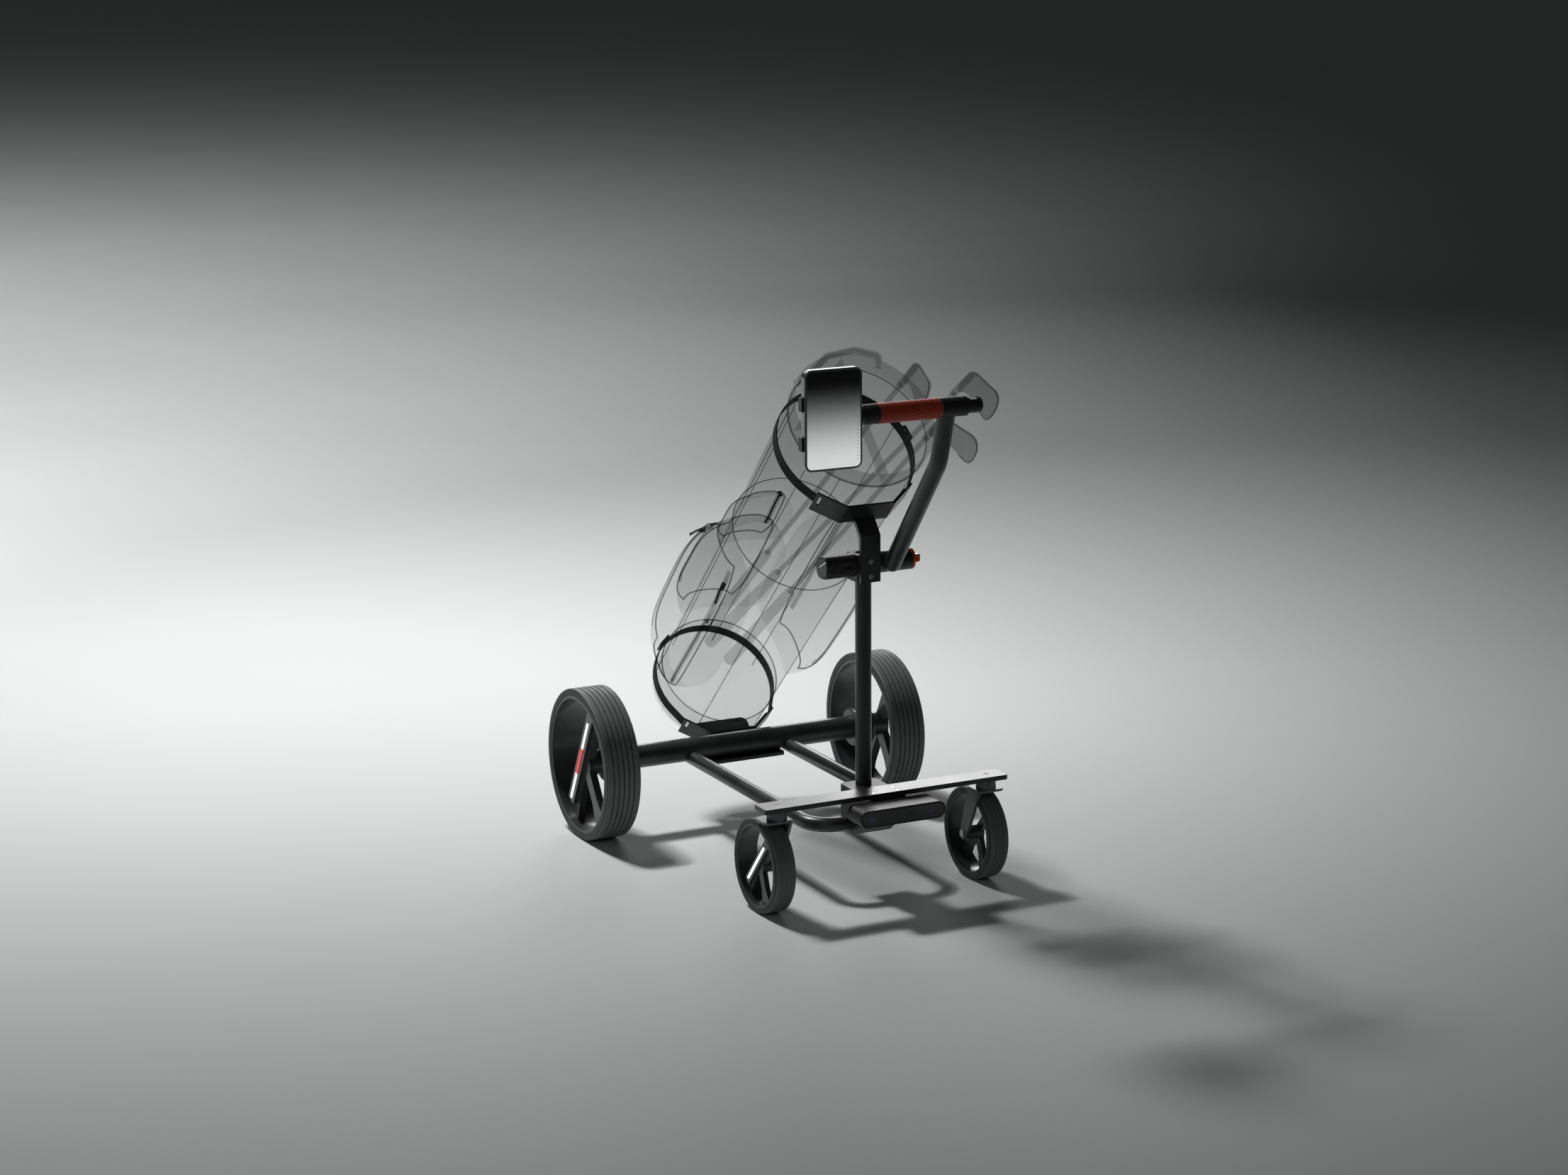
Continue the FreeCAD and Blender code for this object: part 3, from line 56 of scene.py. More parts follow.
# ---- settings -------------------------------------------------------------
class BagSettings(bpy.types.PropertyGroup):
    """Sizes of the bag's cloth and trim."""
    lean: FloatProperty(name="Lean", description="Angle of the bag from upright, mouth towards the handle",
                        default=math.radians(45.57), unit="ROTATION")
    foot_back: FloatProperty(name="Foot from axle", default=0.0946, unit="LENGTH",
                             description="Bag's middle line behind the axle at the lower strap")
    foot_height: FloatProperty(name="Foot height", default=0.2563, unit="LENGTH",
                               description="Height of the bag's middle line at the lower strap")
    base_radius: FloatProperty(name="Base radius", description="Radius of the cloth tube at its lower end",
                               default=0.115, unit="LENGTH")
    mouth_radius: FloatProperty(name="Mouth radius", description="Radius of the cloth tube at the collar",
                                default=0.128, unit="LENGTH")
    side_reach: FloatProperty(name="Side pocket reach", default=0.170, unit="LENGTH",
                              description="Side pocket's outer face from the middle line")
    front_reach: FloatProperty(name="Front pocket reach", default=0.170, unit="LENGTH",
                               description="Front pocket's outer face from the middle line")
    piping: FloatProperty(name="Piping radius", description="Radius of the cord sewn into the pocket edges",
                          default=0.0015, unit="LENGTH")
    zip_width: FloatProperty(name="Zip width", description="Width of a zip's tape", default=0.011,
                             unit="LENGTH")
    segments: IntProperty(name="Segments", description="Segments round the cloth tube", default=96)


class LampSettings(bpy.types.PropertyGroup):
    """Sizes and strengths of the lamps and indicator dots."""
    tilt: FloatProperty(name="Caster blade tilt", description="Angle of the caster's blade from upright",
                        default=math.radians(41.6), unit="ROTATION")
    width: FloatProperty(name="Strip width", description="Width of a caster's lamp strip", default=0.0046,
                         unit="LENGTH")
    strength: FloatProperty(name="Strip glow", default=1.6, description="Emission strength of the strips")
    dot: FloatProperty(name="Dot radius", description="Radius of an indicator dot", default=0.0011,
                       unit="LENGTH")


class StageSettings(bpy.types.PropertyGroup):
    """Camera and floor."""
    camera: FloatVectorProperty(name="Camera from axle", default=(-2.549437, -5.344958, 1.778056),
                                description="Camera from the axle's middle on the ground", unit="LENGTH")
    yaw: FloatProperty(name="Yaw", description="Camera heading from +Y towards +X", default=0.4607149,
                       unit="ROTATION")
    pitch: FloatProperty(name="Pitch", description="Camera angle below level", default=0.2202411,
                         unit="ROTATION")
    roll: FloatProperty(name="Roll", description="Camera roll", default=-0.0073727, unit="ROTATION")
    lens: FloatProperty(name="Lens", description="Focal length in millimetres on a 36 mm sensor",
                        default=72.633)
    floor: FloatProperty(name="Floor size", description="Side of the square floor", default=160.0,
                         unit="LENGTH")


# ---- shader maths ---------------------------------------------------------
class Shade:
    """One output of a shader tree, with arithmetic that adds Math nodes."""

    def __init__(self, finish, socket):
        self.finish, self.socket = finish, socket

    def math(self, kind, *values):
        return self.finish.node("ShaderNodeMath", {"operation": kind}, dict(enumerate(values)))

    def __add__(self, other):
        return self.math("ADD", self, other)

    def __sub__(self, other):
        return self.math("SUBTRACT", self, other)

    def __rsub__(self, other):
        return self.math("SUBTRACT", other, self)

    def __mul__(self, other):
        return self.math("MULTIPLY", self, other)

    __rmul__ = __mul__

    def __truediv__(self, other):
        return self.math("DIVIDE", self, other)

    def turn(self, other):
        """Angle whose tangent is this over the other."""
        return self.math("ARCTAN2", self, other)

    def sin(self):
        return self.math("SINE", self)

    def abs(self):
        return self.math("ABSOLUTE", self)

    def power(self, exponent):
        return self.math("POWER", self, exponent)

    def above(self, edge, soft):
        """0 below the edge and 1 above it, over a soft width."""
        return self.finish.span(self, edge - soft / 2, edge + soft / 2, 0.0, 1.0)


class Finish:
    """One procedural material."""

    def __init__(self, name, **uniform):
        self.material = bpy.data.materials.new(name)
        self.material.use_nodes = True
        self.tree = self.material.node_tree
        self.tree.nodes.clear()
        self.surface = self.tree.nodes.new("ShaderNodeBsdfPrincipled")
        output = self.tree.nodes.new("ShaderNodeOutputMaterial")
        self.tree.links.new(self.surface.outputs[0], output.inputs["Surface"])
        self.place = self.node("ShaderNodeTexCoord", {}, {}, "Object")
        self.set(**uniform)

    def put(self, socket, value):
        if isinstance(value, Shade):
            self.tree.links.new(value.socket, socket)
        else:
            socket.default_value = value

    def node(self, kind, settings, inputs, out=0):
        """Any node: settings first, then inputs by name or number."""
        made = self.tree.nodes.new(kind)
        for key, value in settings.items():
            setattr(made, key, value)
        for key, value in inputs.items():
            self.put(made.inputs[key], value)
        return Shade(self, made.outputs[out])

    def set(self, **inputs):
        """Set the surface's inputs; base_color stands for Base Color."""
        for key, value in inputs.items():
            if isinstance(value, tuple) and len(value) == 3:
                value = (*value, 1.0)
            self.put(self.surface.inputs[" ".join(w.upper() if w == "ior" else w.capitalize()
                                                  for w in key.split("_"))], value)

    def noise(self, scale, detail=3.0, rough=0.5, place=None):
        return self.node("ShaderNodeTexNoise", {}, {
            "Vector": place or self.place, "Scale": scale, "Detail": detail, "Roughness": rough})

    def span(self, value, low, high, to_low, to_high):
        """Map the range low to high onto to_low to to_high, held at both ends."""
        return self.node("ShaderNodeMapRange", {"clamp": True}, {
            "Value": value, "From Min": low, "From Max": high, "To Min": to_low, "To Max": to_high})

    def mix(self, share, first, second):
        first, second = [(*c, 1.0) if isinstance(c, tuple) and len(c) == 3 else c for c in (first, second)]
        return self.node("ShaderNodeMix", {"data_type": "RGBA"}, {0: share, 6: first, 7: second}, 2)

    def axes(self):
        """The three coordinates as shades."""
        made = self.tree.nodes.new("ShaderNodeSeparateXYZ")
        self.put(made.inputs[0], self.place)
        return [Shade(self, out) for out in made.outputs]

    def bump(self, height, strength, distance=0.001):
        self.put(self.surface.inputs["Normal"], self.node("ShaderNodeBump", {}, {
            "Height": height, "Strength": strength, "Distance": distance}))

    def along(self, axis, origin):
        """Distance from the origin along an axis."""
        x, y, z = self.axes()
        return x * axis.x + y * axis.y + z * axis.z - axis.dot(origin)


# ---- bag frame ------------------------------------------------------------
class Bag:
    """The bag's own frame: x across, n out of its upper side, s along it to the mouth, in metres."""

    def __init__(self):
        low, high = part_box("axle_tube")
        sizes = bpy.context.scene.cart_bag
        self.foot = Vector((0, (low.y + high.y) / 2 + sizes.foot_back, sizes.foot_height))
        self.normal = Vector((0, math.cos(sizes.lean), math.sin(sizes.lean)))
        self.axis = Vector((0, -math.sin(sizes.lean), math.cos(sizes.lean)))
        self.sizes = sizes
        self.low, self.top = -0.0455, 0.840

    def world(self, x, n, s):
        return self.foot + Vector((x, 0, 0)) + self.normal * n + self.axis * s

    def radius(self, s):
        share = (s - self.low) / (self.top - self.low)
        return self.sizes.base_radius + (self.sizes.mouth_radius - self.sizes.base_radius) * share


# ---- meshes ---------------------------------------------------------------
def piece(name, corners, faces, body, finish, slot, smooth=True):
    """One shown piece that rides on a body."""
    mesh = bpy.data.meshes.new(name)
    mesh.from_pydata([tuple(c) for c in corners], [], faces)
    mesh.validate()
    if smooth:
        mesh.shade_smooth()
    else:
        mesh.shade_flat()
    obj = bpy.data.objects.new(name, mesh)
    bpy.context.scene.collection.objects.link(obj)
    mesh.materials.append(finish.material)
    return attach(obj, body)


def grid_faces(rows, columns, closed=False, start=0):
    """Faces of a grid of corners, closed round the columns if asked."""
    faces = []
    for row in range(rows - 1):
        for column in range(columns if closed else columns - 1):
            after = (column + 1) % columns
            a, b = start + row * columns, start + (row + 1) * columns
            faces.append((a + column, a + after, b + after, b + column))
    return faces


def swept(points, radius, closed=False, sides=8, flat=1.0, up=None):
    """Corners and faces of a cord along points; flat below 1 presses it along the up direction."""
    count = len(points)
    corners, side = [], None
    for index, point in enumerate(points):
        if closed:
            along = points[(index + 1) % count] - points[index - 1]
        else:
            along = points[min(index + 1, count - 1)] - points[max(index - 1, 0)]
        along.normalize()
        if up is not None:
            side = along.cross(up(point) if callable(up) else up).normalized()
        elif side is None:
            side = along.orthogonal().normalized()
        else:
            side = (side - along * side.dot(along)).normalized()
        over = along.cross(side)
        for step in range(sides):
            angle = math.tau * step / sides
            corners.append(point + (side * math.cos(angle) + over * math.sin(angle) * flat) * radius)
    faces = grid_faces(count, sides, True)
    if closed:
        last = (count - 1) * sides
        faces += [(last + c, last + (c + 1) % sides, (c + 1) % sides, c) for c in range(sides)]
    else:
        last = (count - 1) * sides
        faces += [tuple(range(sides))[::-1], tuple(last + c for c in range(sides))]
    return corners, faces


def joined(parts):
    """Several corner and face lists as one."""
    corners, faces = [], []
    for more, its_faces in parts:
        faces += [tuple(c + len(corners) for c in face) for face in its_faces]
        corners += more
    return corners, faces


def block(centre, across, along, up, half):
    """Block from its middle, three unit directions and three half sizes."""
    corners = [centre + across * (half[0] * i) + along * (half[1] * j) + up * (half[2] * k)
               for k in (-1, 1) for i, j in ((-1, -1), (1, -1), (1, 1), (-1, 1))]
    faces = [(3, 2, 1, 0), (4, 5, 6, 7)] + [(i, (i + 1) % 4, (i + 1) % 4 + 4, i + 4) for i in range(4)]
    return corners, faces


def ball(centre, radius, flat, share):
    """Small round dot, pressed to a share of its height along the flat direction."""
    corners = []
    rows, columns = 6, 10
    pole = flat.normalized()
    side = pole.orthogonal().normalized()
    over = pole.cross(side)
    for row in range(rows + 1):
        polar = math.pi * row / rows
        for column in range(columns):
            angle = math.tau * column / columns
            out = side * math.cos(angle) + over * math.sin(angle)
            corners.append(centre + out * math.sin(polar) * radius + pole * math.cos(polar) * radius * share)
    return corners, grid_faces(rows + 1, columns, True)


# ---- finishes -------------------------------------------------------------
def painted(name, dark, light, rough, metal=0.35, coat=0.25):
    """Satin powder coat with a fine grain and faint wear."""
    f = Finish(name, metallic=metal, coat_roughness=0.25)
    grain, cloud = f.noise(2600.0, 2.0), f.noise(14.0, 4.0)
    f.set(base_color=f.mix(f.span(cloud, 0.35, 0.65, 0.0, 1.0), dark, light),
          roughness=f.span(grain + cloud, 0.7, 1.3, rough - 0.05, rough + 0.07),
          coat_weight=f.span(cloud, 0.3, 0.7, coat * 0.6, coat))
    f.bump(grain, 0.12, 0.0002)
    return f


def moulded(name, colour, rough, grain_scale=3200.0, strength=0.2, coat=0.0):
    """Injection-moulded plastic or rubber with a fine texture."""
    f = Finish(name)
    grain, cloud = f.noise(grain_scale, 2.0), f.noise(9.0, 3.0)
    f.set(base_color=f.mix(cloud, tuple(c * 0.8 for c in colour), tuple(c * 1.25 for c in colour)),
          roughness=f.span(cloud, 0.3, 0.7, rough - 0.04, rough + 0.06), coat_weight=coat)
    f.bump(grain, strength, 0.0002)
    return f


def rubber(name, middle, outer):
    """Tyre rubber with dust patches: painted light makes the tread's ribs lighter than the dark side walls,
    and painted shade darkens the grooves.
    """
    f = Finish(name, specular_ior_level=0.35)
    y, z = f.axes()[1:]
    radius = ((y - middle.y) * (y - middle.y) + (z - middle.z) * (z - middle.z)).power(0.5)
    tread, ribs = radius.above(outer - 0.004, 0.003), radius.above(outer - 0.0011, 0.0008)
    grain, dust = f.noise(1900.0, 3.0), f.noise(30.0, 5.0, 0.6)
    # painted light: the tread is coloured lighter grey than the side walls, standing in for the light falling
    # on it
    painted_tread_light = f.mix(tread, (0.030, 0.032, 0.031), (0.125, 0.132, 0.129))
    # painted shade: the grooves between the ribs are coloured darker than the side walls
    painted_groove_shade = f.mix(tread, painted_tread_light, (0.022, 0.023, 0.023))
    f.set(base_color=f.mix(f.span(dust, 0.45, 0.75, 0.0, 0.35), f.mix(ribs, painted_groove_shade, painted_tread_light),
                           (0.17, 0.178, 0.172)),
          roughness=f.span(dust, 0.3, 0.7, 0.50, 0.66))
    f.bump(grain, 0.35, 0.0003)
    return f


def brushed(name, colour, rough):
    """Turned or brushed metal with fine lines along X."""
    f = Finish(name, metallic=1.0)
    lines = f.noise(1.0, 4.0, place=f.node("ShaderNodeVectorMath", {"operation": "MULTIPLY"},
                                           {0: f.place, 1: (60.0, 1800.0, 1800.0)}))
    f.set(base_color=f.mix(lines, tuple(c * 0.75 for c in colour), colour),
          roughness=f.span(lines, 0.3, 0.7, rough, rough + 0.14))
    f.bump(lines, 0.1, 0.0002)
    return f


def lamp(name, low, high, strength):
    """Wheel lamp: white with a red middle third and faint flecks."""
    f = Finish(name, roughness=0.3, emission_strength=strength)
    middle, reach = (low + high) / 2, (high - low).length / 6 * 0.97
    away = f.node("ShaderNodeVectorMath", {"operation": "DISTANCE"}, {0: f.place, 1: tuple(middle)}, "Value")
    red = away.above(reach, 0.0006) * -1.0 + 1.0
    fleck = f.span(f.noise(420.0), 0.3, 0.7, 0.92, 1.0)
    colour = f.mix(red, (0.88, 0.9, 0.9), (0.72, 0.012, 0.01))
    f.set(base_color=colour, emission_color=f.mix(fleck, (0.0, 0.0, 0.0), colour))
    return f


def glow(name, colour, strength):
    """Small evenly lit lamp face with faint flecks."""
    f = Finish(name, roughness=0.3, emission_strength=strength)
    fleck = f.span(f.noise(500.0), 0.3, 0.7, 0.9, 1.0)
    f.set(base_color=colour, emission_color=f.mix(fleck, tuple(c * 0.7 for c in colour), colour))
    return f


def webbing(name, bag):
    """Tight black webbing: ribs along the strap and a weave across it."""
    f = Finish(name, specular_ior_level=0.25)
    s = f.along(bag.axis, bag.foot)
    n = f.along(bag.normal, bag.foot)
    x = f.axes()[0]
    round_angle = n.turn(x)
    weave = (s * 2600.0).sin() * (round_angle * 240.0).sin()
    ribs = (s * 1300.0).sin().abs()
    wear = f.noise(60.0, 4.0)
    f.set(base_color=f.mix(wear, (0.004, 0.004, 0.0045), (0.010, 0.010, 0.011)),
          roughness=f.span(wear, 0.3, 0.7, 0.62, 0.8))
    f.bump(weave * 0.5 + ribs, 0.5, 0.0005)
    return f


def knurled(name, low, high):
    """Red rubber grip with crossed diagonal ridges; painted shade darkens the grooves between them."""
    f = Finish(name, specular_ior_level=0.5)
    middle = (low + high) / 2
    x, y, z = f.axes()
    turn = (z - middle.z).turn(y - middle.y)
    one = (x * 900.0 + turn * 16.0).sin()
    two = (x * 900.0 - turn * 16.0).sin()
    ridge = (one + two) * 0.25 + 0.5
    wear = f.noise(40.0, 4.0)
    # painted shade: the ridge height darkens the grooves to deep red and leaves the ridge tops bright red;
    # the noise adds random wear
    f.set(base_color=f.mix(ridge * 0.75 + wear * 0.25, (0.20, 0.018, 0.006), (0.60, 0.062, 0.018)),
          roughness=f.span(ridge, 0.2, 0.8, 0.62, 0.42))
    f.bump(ridge, 0.7, 0.0010)
    return f


def screen(name, low, high):
    """Display glass: black at the top, fading to white at the bottom."""
    f = Finish(name, roughness=0.12, coat_weight=0.6, coat_roughness=0.04, emission_strength=1.0)
    z = f.axes()[2]
    height = (z - low.z) / (high.z - low.z)
    fade = f.span(height, 0.02, 0.92, 1.0, 0.0)
    soft = (fade * fade * (3.0 - 2.0 * fade)).power(1.35)
    haze = f.span(f.noise(5.0, 2.0), 0.3, 0.7, 0.94, 1.04)
    light = soft * haze
    f.set(base_color=f.mix(light, (0.004, 0.004, 0.005), (0.30, 0.30, 0.30)),
          emission_color=f.mix(light, (0.001, 0.001, 0.0012), (0.62, 0.63, 0.63)))
    return f


def smoke(name, colour, thin, thick, scale=1400.0, rough=0.4, weave=True):
    """Translucent smoky layer; with a weave it also grows more opaque with height, towards the bag's mouth.
    """
    f = Finish(name, ior=1.2, specular_ior_level=0.15)
    cloud = f.noise(6.0, 3.0)
    if weave:
        x, y, z = f.axes()
        threads = (x * scale).sin() * ((y + z) * scale).sin() * 0.5 + 0.5
    else:
        threads = f.noise(scale, 2.0)
    cover = f.span(cloud * 0.6 + threads * 0.4, 0.2, 0.8, thin, thick)
    if weave:
        cover = cover * f.span(z, 0.25, 0.85, 0.62, 1.2)
    f.set(base_color=f.mix(cloud, tuple(c * 0.85 for c in colour), tuple(c * 1.15 for c in colour)),
          roughness=f.span(threads, 0.0, 1.0, rough, rough + 0.2), alpha=cover)
    f.bump(threads, 0.15, 0.0003)
    return f


def iron_finish(name, dark, light, clear, metal):
    """Smoky translucent part of an iron with fine drawn lines."""
    f = Finish(name, metallic=metal, specular_ior_level=0.3)
    lines, cloud = f.noise(1500.0, 3.0), f.noise(12.0, 2.0)
    f.set(base_color=f.mix(cloud, dark, light), roughness=f.span(lines, 0.3, 0.7, 0.35, 0.5),
          alpha=f.span(cloud, 0.2, 0.8, clear, clear + 0.06))
    f.bump(lines, 0.25, 0.0003)
    return f


# ---- bag cloth ------------------------------------------------------------
CLOTH_SINK = 0.0012      # cloth below the tube's outer face
POCKET_GAP = 0.0007      # pocket's edge above the tube
POCKET_SAG = 0.003
EDGE_POWER = 0.42        # how quickly a pocket's end narrows
PUFF_POWER = 0.55        # how quickly it swells from its end
FOOT_ROUND = 5.0         # squareness of the lower end
MOUTH_ROUND = 3.2        # squareness of the upper end's swelling
HIGH_SET_BACK = 0.022    # high front pocket's face behind the low one's
TOOTH = (0.0018, 0.0007, 0.0006)        # half sizes of a zip tooth
SLIDER = (0.0040, 0.0055, 0.0022)       # half sizes of a zip slider
TAB = ((0.002, 0.0), (0.012, 0.003), (0.024, 0.001), (0.036, 0.0))      # pull tab: back along, and up


def cloth_tube(bag):
    """The bag's body: one lofted skin with a soft fall between its seams, closed at the foot."""
    count, rows = bag.sizes.segments, 46
    corners = []
    for row in range(rows):
        s = bag.low + (bag.top - bag.low) * row / (rows - 1)
        for column in range(count):
            angle = math.tau * column / count
            slack = 0.0009 * math.sin(3 * angle + 9.0 * s) + 0.0006 * math.sin(5 * angle - 14.0 * s)
            fall = math.sin(math.pi * row / (rows - 1))
            radius = bag.radius(s) - CLOTH_SINK + slack * fall
            corners.append(bag.world(radius * math.cos(angle), radius * math.sin(angle), s))
    faces = grid_faces(rows, count, True)
    faces.append(tuple(range(count))[::-1])
    return corners, faces


class Pocket:
    """A stuffed pocket on the tube.

    out is the angle it faces round the bag, 0 at +x; square and arch shape its section and its upper end.
    """

    def __init__(self, bag, out, across, reach, s0, s1, square=3.4, arch=3.4):
        self.bag, self.out, self.across, self.reach = bag, out, across, reach
        self.s0, self.s1, self.square, self.arch = s0, s1, square, arch

    def point(self, t, v, lift=0.0):
        """t goes round the section from -1 to 1, v along the pocket from 0 at its foot to 1."""
        s = self.s0 + (self.s1 - self.s0) * v
        radius = self.bag.radius(s)
        low, high = self.across
        middle, half = (low + high) / 2, (high - low) / 2
        ends, upper = abs(2 * v - 1), v > 0.5
        puff = max(0.0, 1 - ends ** (MOUTH_ROUND if upper else FOOT_ROUND)) ** PUFF_POWER
        narrow = max(0.0, 1 - ends ** (self.arch if upper else FOOT_ROUND)) ** EDGE_POWER
        sag = POCKET_SAG * math.sin(math.pi * v) * math.sin(3.1 * t + 5 * v)
        angle = t * math.pi / 2
        power = 2 / self.square
        wide = math.copysign(abs(math.sin(angle)) ** power, math.sin(angle))
        deep = max(0.0, math.cos(angle)) ** power
        across = middle + half * narrow * wide
        base = math.sqrt(max(radius * radius - across * across, 0.0))
        out = base + (self.reach - base) * puff * deep + sag * deep * puff + lift + POCKET_GAP
        turn_cos, turn_sin = math.cos(self.out), math.sin(self.out)
        return self.bag.world(out * turn_cos - across * turn_sin, out * turn_sin + across * turn_cos, s)

    def skin(self):
        rows, columns = 40, 41
        corners = [self.point(-1 + 2 * column / (columns - 1), row / (rows - 1))
                   for row in range(rows) for column in range(columns)]
        return corners, grid_faces(rows, columns)

    def loop(self, t, v0, v1, steps=22, lift=0.0006):
        """Closed line at the places -t and t of the section, over both ends."""
        up = [self.point(t, v0 + (v1 - v0) * i / steps, lift) for i in range(steps + 1)]
        over = [self.point(t - 2 * t * i / steps, v1, lift) for i in range(1, steps)]
        down = [self.point(-t, v1 - (v1 - v0) * i / steps, lift) for i in range(steps + 1)]
        back = [self.point(-t + 2 * t * i / steps, v0, lift) for i in range(1, steps)]
        return up + over + down + back

    def line(self, t, v0, v1, steps=26, lift=0.0010):
        """Straight run along the pocket at place t of the section."""
        return [self.point(t, v0 + (v1 - v0) * i / steps, lift) for i in range(steps + 1)]


def pockets(bag):
    """The bag's pockets by name; across runs along +n on the right, -n on the left and -x in front."""
    side, front = bag.sizes.side_reach, bag.sizes.front_reach
    return {
        "bag_right_pocket": Pocket(bag, 0.0, (-0.086, 0.093), side, 0.060, 0.500),
        "bag_left_pocket": Pocket(bag, math.pi, (-0.093, 0.086), side, 0.060, 0.500),
        "bag_low_pocket": Pocket(bag, math.pi / 2, (-0.089, 0.089), front, 0.071, 0.362, 3.0, 2.6),
        "bag_high_pocket": Pocket(bag, math.pi / 2, (-0.066, 0.066), front - HIGH_SET_BACK, 0.300, 0.447,
                                  3.0, 2.8),
    }


def zip_tape(path, out_of, width):
    """Flat zip tape along a path with its row of teeth."""
    tape = swept(path, width / 2, flat=0.16, up=out_of)
    teeth = []
    for index in range(len(path) - 1):
        for share in (0.0, 0.33, 0.66):
            at = path[index].lerp(path[index + 1], share)
            along = (path[index + 1] - path[index]).normalized()
            up = out_of(at)
            across = along.cross(up).normalized()
            teeth.append(block(at + up * 0.0009, across, along, up, TOOTH))
    return joined([tape] + teeth)


def puller(at, along, up):
    """Zip slider with its pull tab and the tab's round end."""
    across = along.cross(up).normalized()
    slider = block(at + up * 0.002, across, along, up, SLIDER)
    tab = [at + up * 0.004 - along * back + up * lift for back, lift in TAB]
    return joined([slider, swept(tab, 0.0032, flat=0.45, up=up), ball(tab[-1], 0.0036, up, 0.5)])


# pocket, place round its section, and the run's two ends along it
ZIPS = (("bag_right_pocket", 0.50, 0.12, 0.93), ("bag_right_pocket", -0.50, 0.12, 0.93),
        ("bag_left_pocket", 0.50, 0.12, 0.93), ("bag_left_pocket", -0.50, 0.12, 0.93),
        ("bag_low_pocket", 0.45, 0.15, 0.90), ("bag_high_pocket", -0.45, 0.15, 0.88))
SEAM_ANGLES = (20, 68, 112, 160, 235, 305)      # degrees round the body
SEAM_RINGS = (0.024, 0.500, 0.836)              # along the body


def zips_and_pulls(bag, places):
    """All zips as one piece and all their pulls as another."""
    def outward(at):
        across = at - bag.foot
        across -= bag.axis * across.dot(bag.axis)
        return across.normalized()

    zips, pulls = [], []
    for name, t, v0, v1 in ZIPS:
        path = places[name].line(t, v0, v1)
        zips.append(zip_tape(path, outward, bag.sizes.zip_width))
        along = (path[-1] - path[-3]).normalized()
        pulls.append(puller(path[-3], along, outward(path[-3])))
    return joined(zips), joined(pulls)


def body_seams(bag):
    """Seams along the body and round it."""
    def on_body(angle, s, lift):
        radius = bag.radius(s) + lift
        return bag.world(radius * math.cos(angle), radius * math.sin(angle), s)

    length = bag.top - bag.low - 0.004
    seams = [swept([on_body(math.radians(degrees), bag.low + length * i / 40, 0.0002) for i in range(41)],
                   0.0010, sides=6) for degrees in SEAM_ANGLES]
    seams += [swept([on_body(math.tau * i / 72, s, 0.0006) for i in range(72)], 0.0013, True, sides=6)
              for s in SEAM_RINGS]
    return joined(seams)


# ---- irons ----------------------------------------------------------------
# mouth point (x, n, s), slopes dx/ds and dn/ds, s of grip end and of heel, twist of the blade in degrees
IRONS = {
    "iron_short": ((0.0880, -0.0700, 0.8750), (0.13, -0.06), 0.1000, 0.9450, 18.0),
    "iron_middle": ((0.0550, 0.0200, 0.8960), (0.10, -0.05), 0.1050, 0.9850, -15.0),
    "iron_long": ((0.0894, -0.0304, 0.8075), (0.20, -0.06), 0.1175, 1.0305, 0.0),
}
# blade outline in the head's plane, in millimetres: out to the toe, up the shaft line from the heel
BLADE = ((-5, -4), (-1, 6), (12, 14), (38, 27), (58, 37), (71, 39), (82, 32), (89, 18), (91, 3), (86, -9),
         (70, -14), (48, -18), (28, -25), (12, -36), (5, -46), (-5, -40))
BLADE_MIDDLE = Vector((42, 8))
# share of half the thickness, share of the outline
BLADE_LAYERS = ((-1.0, 0.80), (-1.0, 0.93), (-0.72, 0.985), (0.0, 1.0), (0.72, 0.985), (1.0, 0.93),
                (1.0, 0.80))
SOLE_SIDE = Vector((-0.469, 0.883))     # direction in the head's plane in which the blade thickens
BLADE_STEPS = 5
EDGE_RUN = slice(5, 52)                 # stretch of the outline that carries the edge line
HOSEL_RUN = (-60, -45, -30, -12, 0)
HOSEL_R = 0.0066
SHAFT_R = 0.0046
GRIP_R = 0.0125
# place along the grip, share of its radius
GRIP_RINGS = ((0.0, 0.70), (0.002, 0.95), (0.006, 1.0), (0.10, 0.92), (0.19, 0.82), (0.262, 0.72),
              (0.265, 0.55))
GRIP_SIDES = 20


def smooth_loop(points, steps):
    """Catmull-Rom line through a closed row of points."""
    line = []
    for i, b in enumerate(points):
        a, c, d = points[i - 1], points[(i + 1) % len(points)], points[(i + 2) % len(points)]
        for step in range(steps):
            u = step / steps
            line.append(b + (c - a) * (u / 2) + (a * 2 - b * 5 + c * 4 - d) * (u * u / 2)
                        + (b * 3 - a - c * 3 + d) * (u ** 3 / 2))
    return line


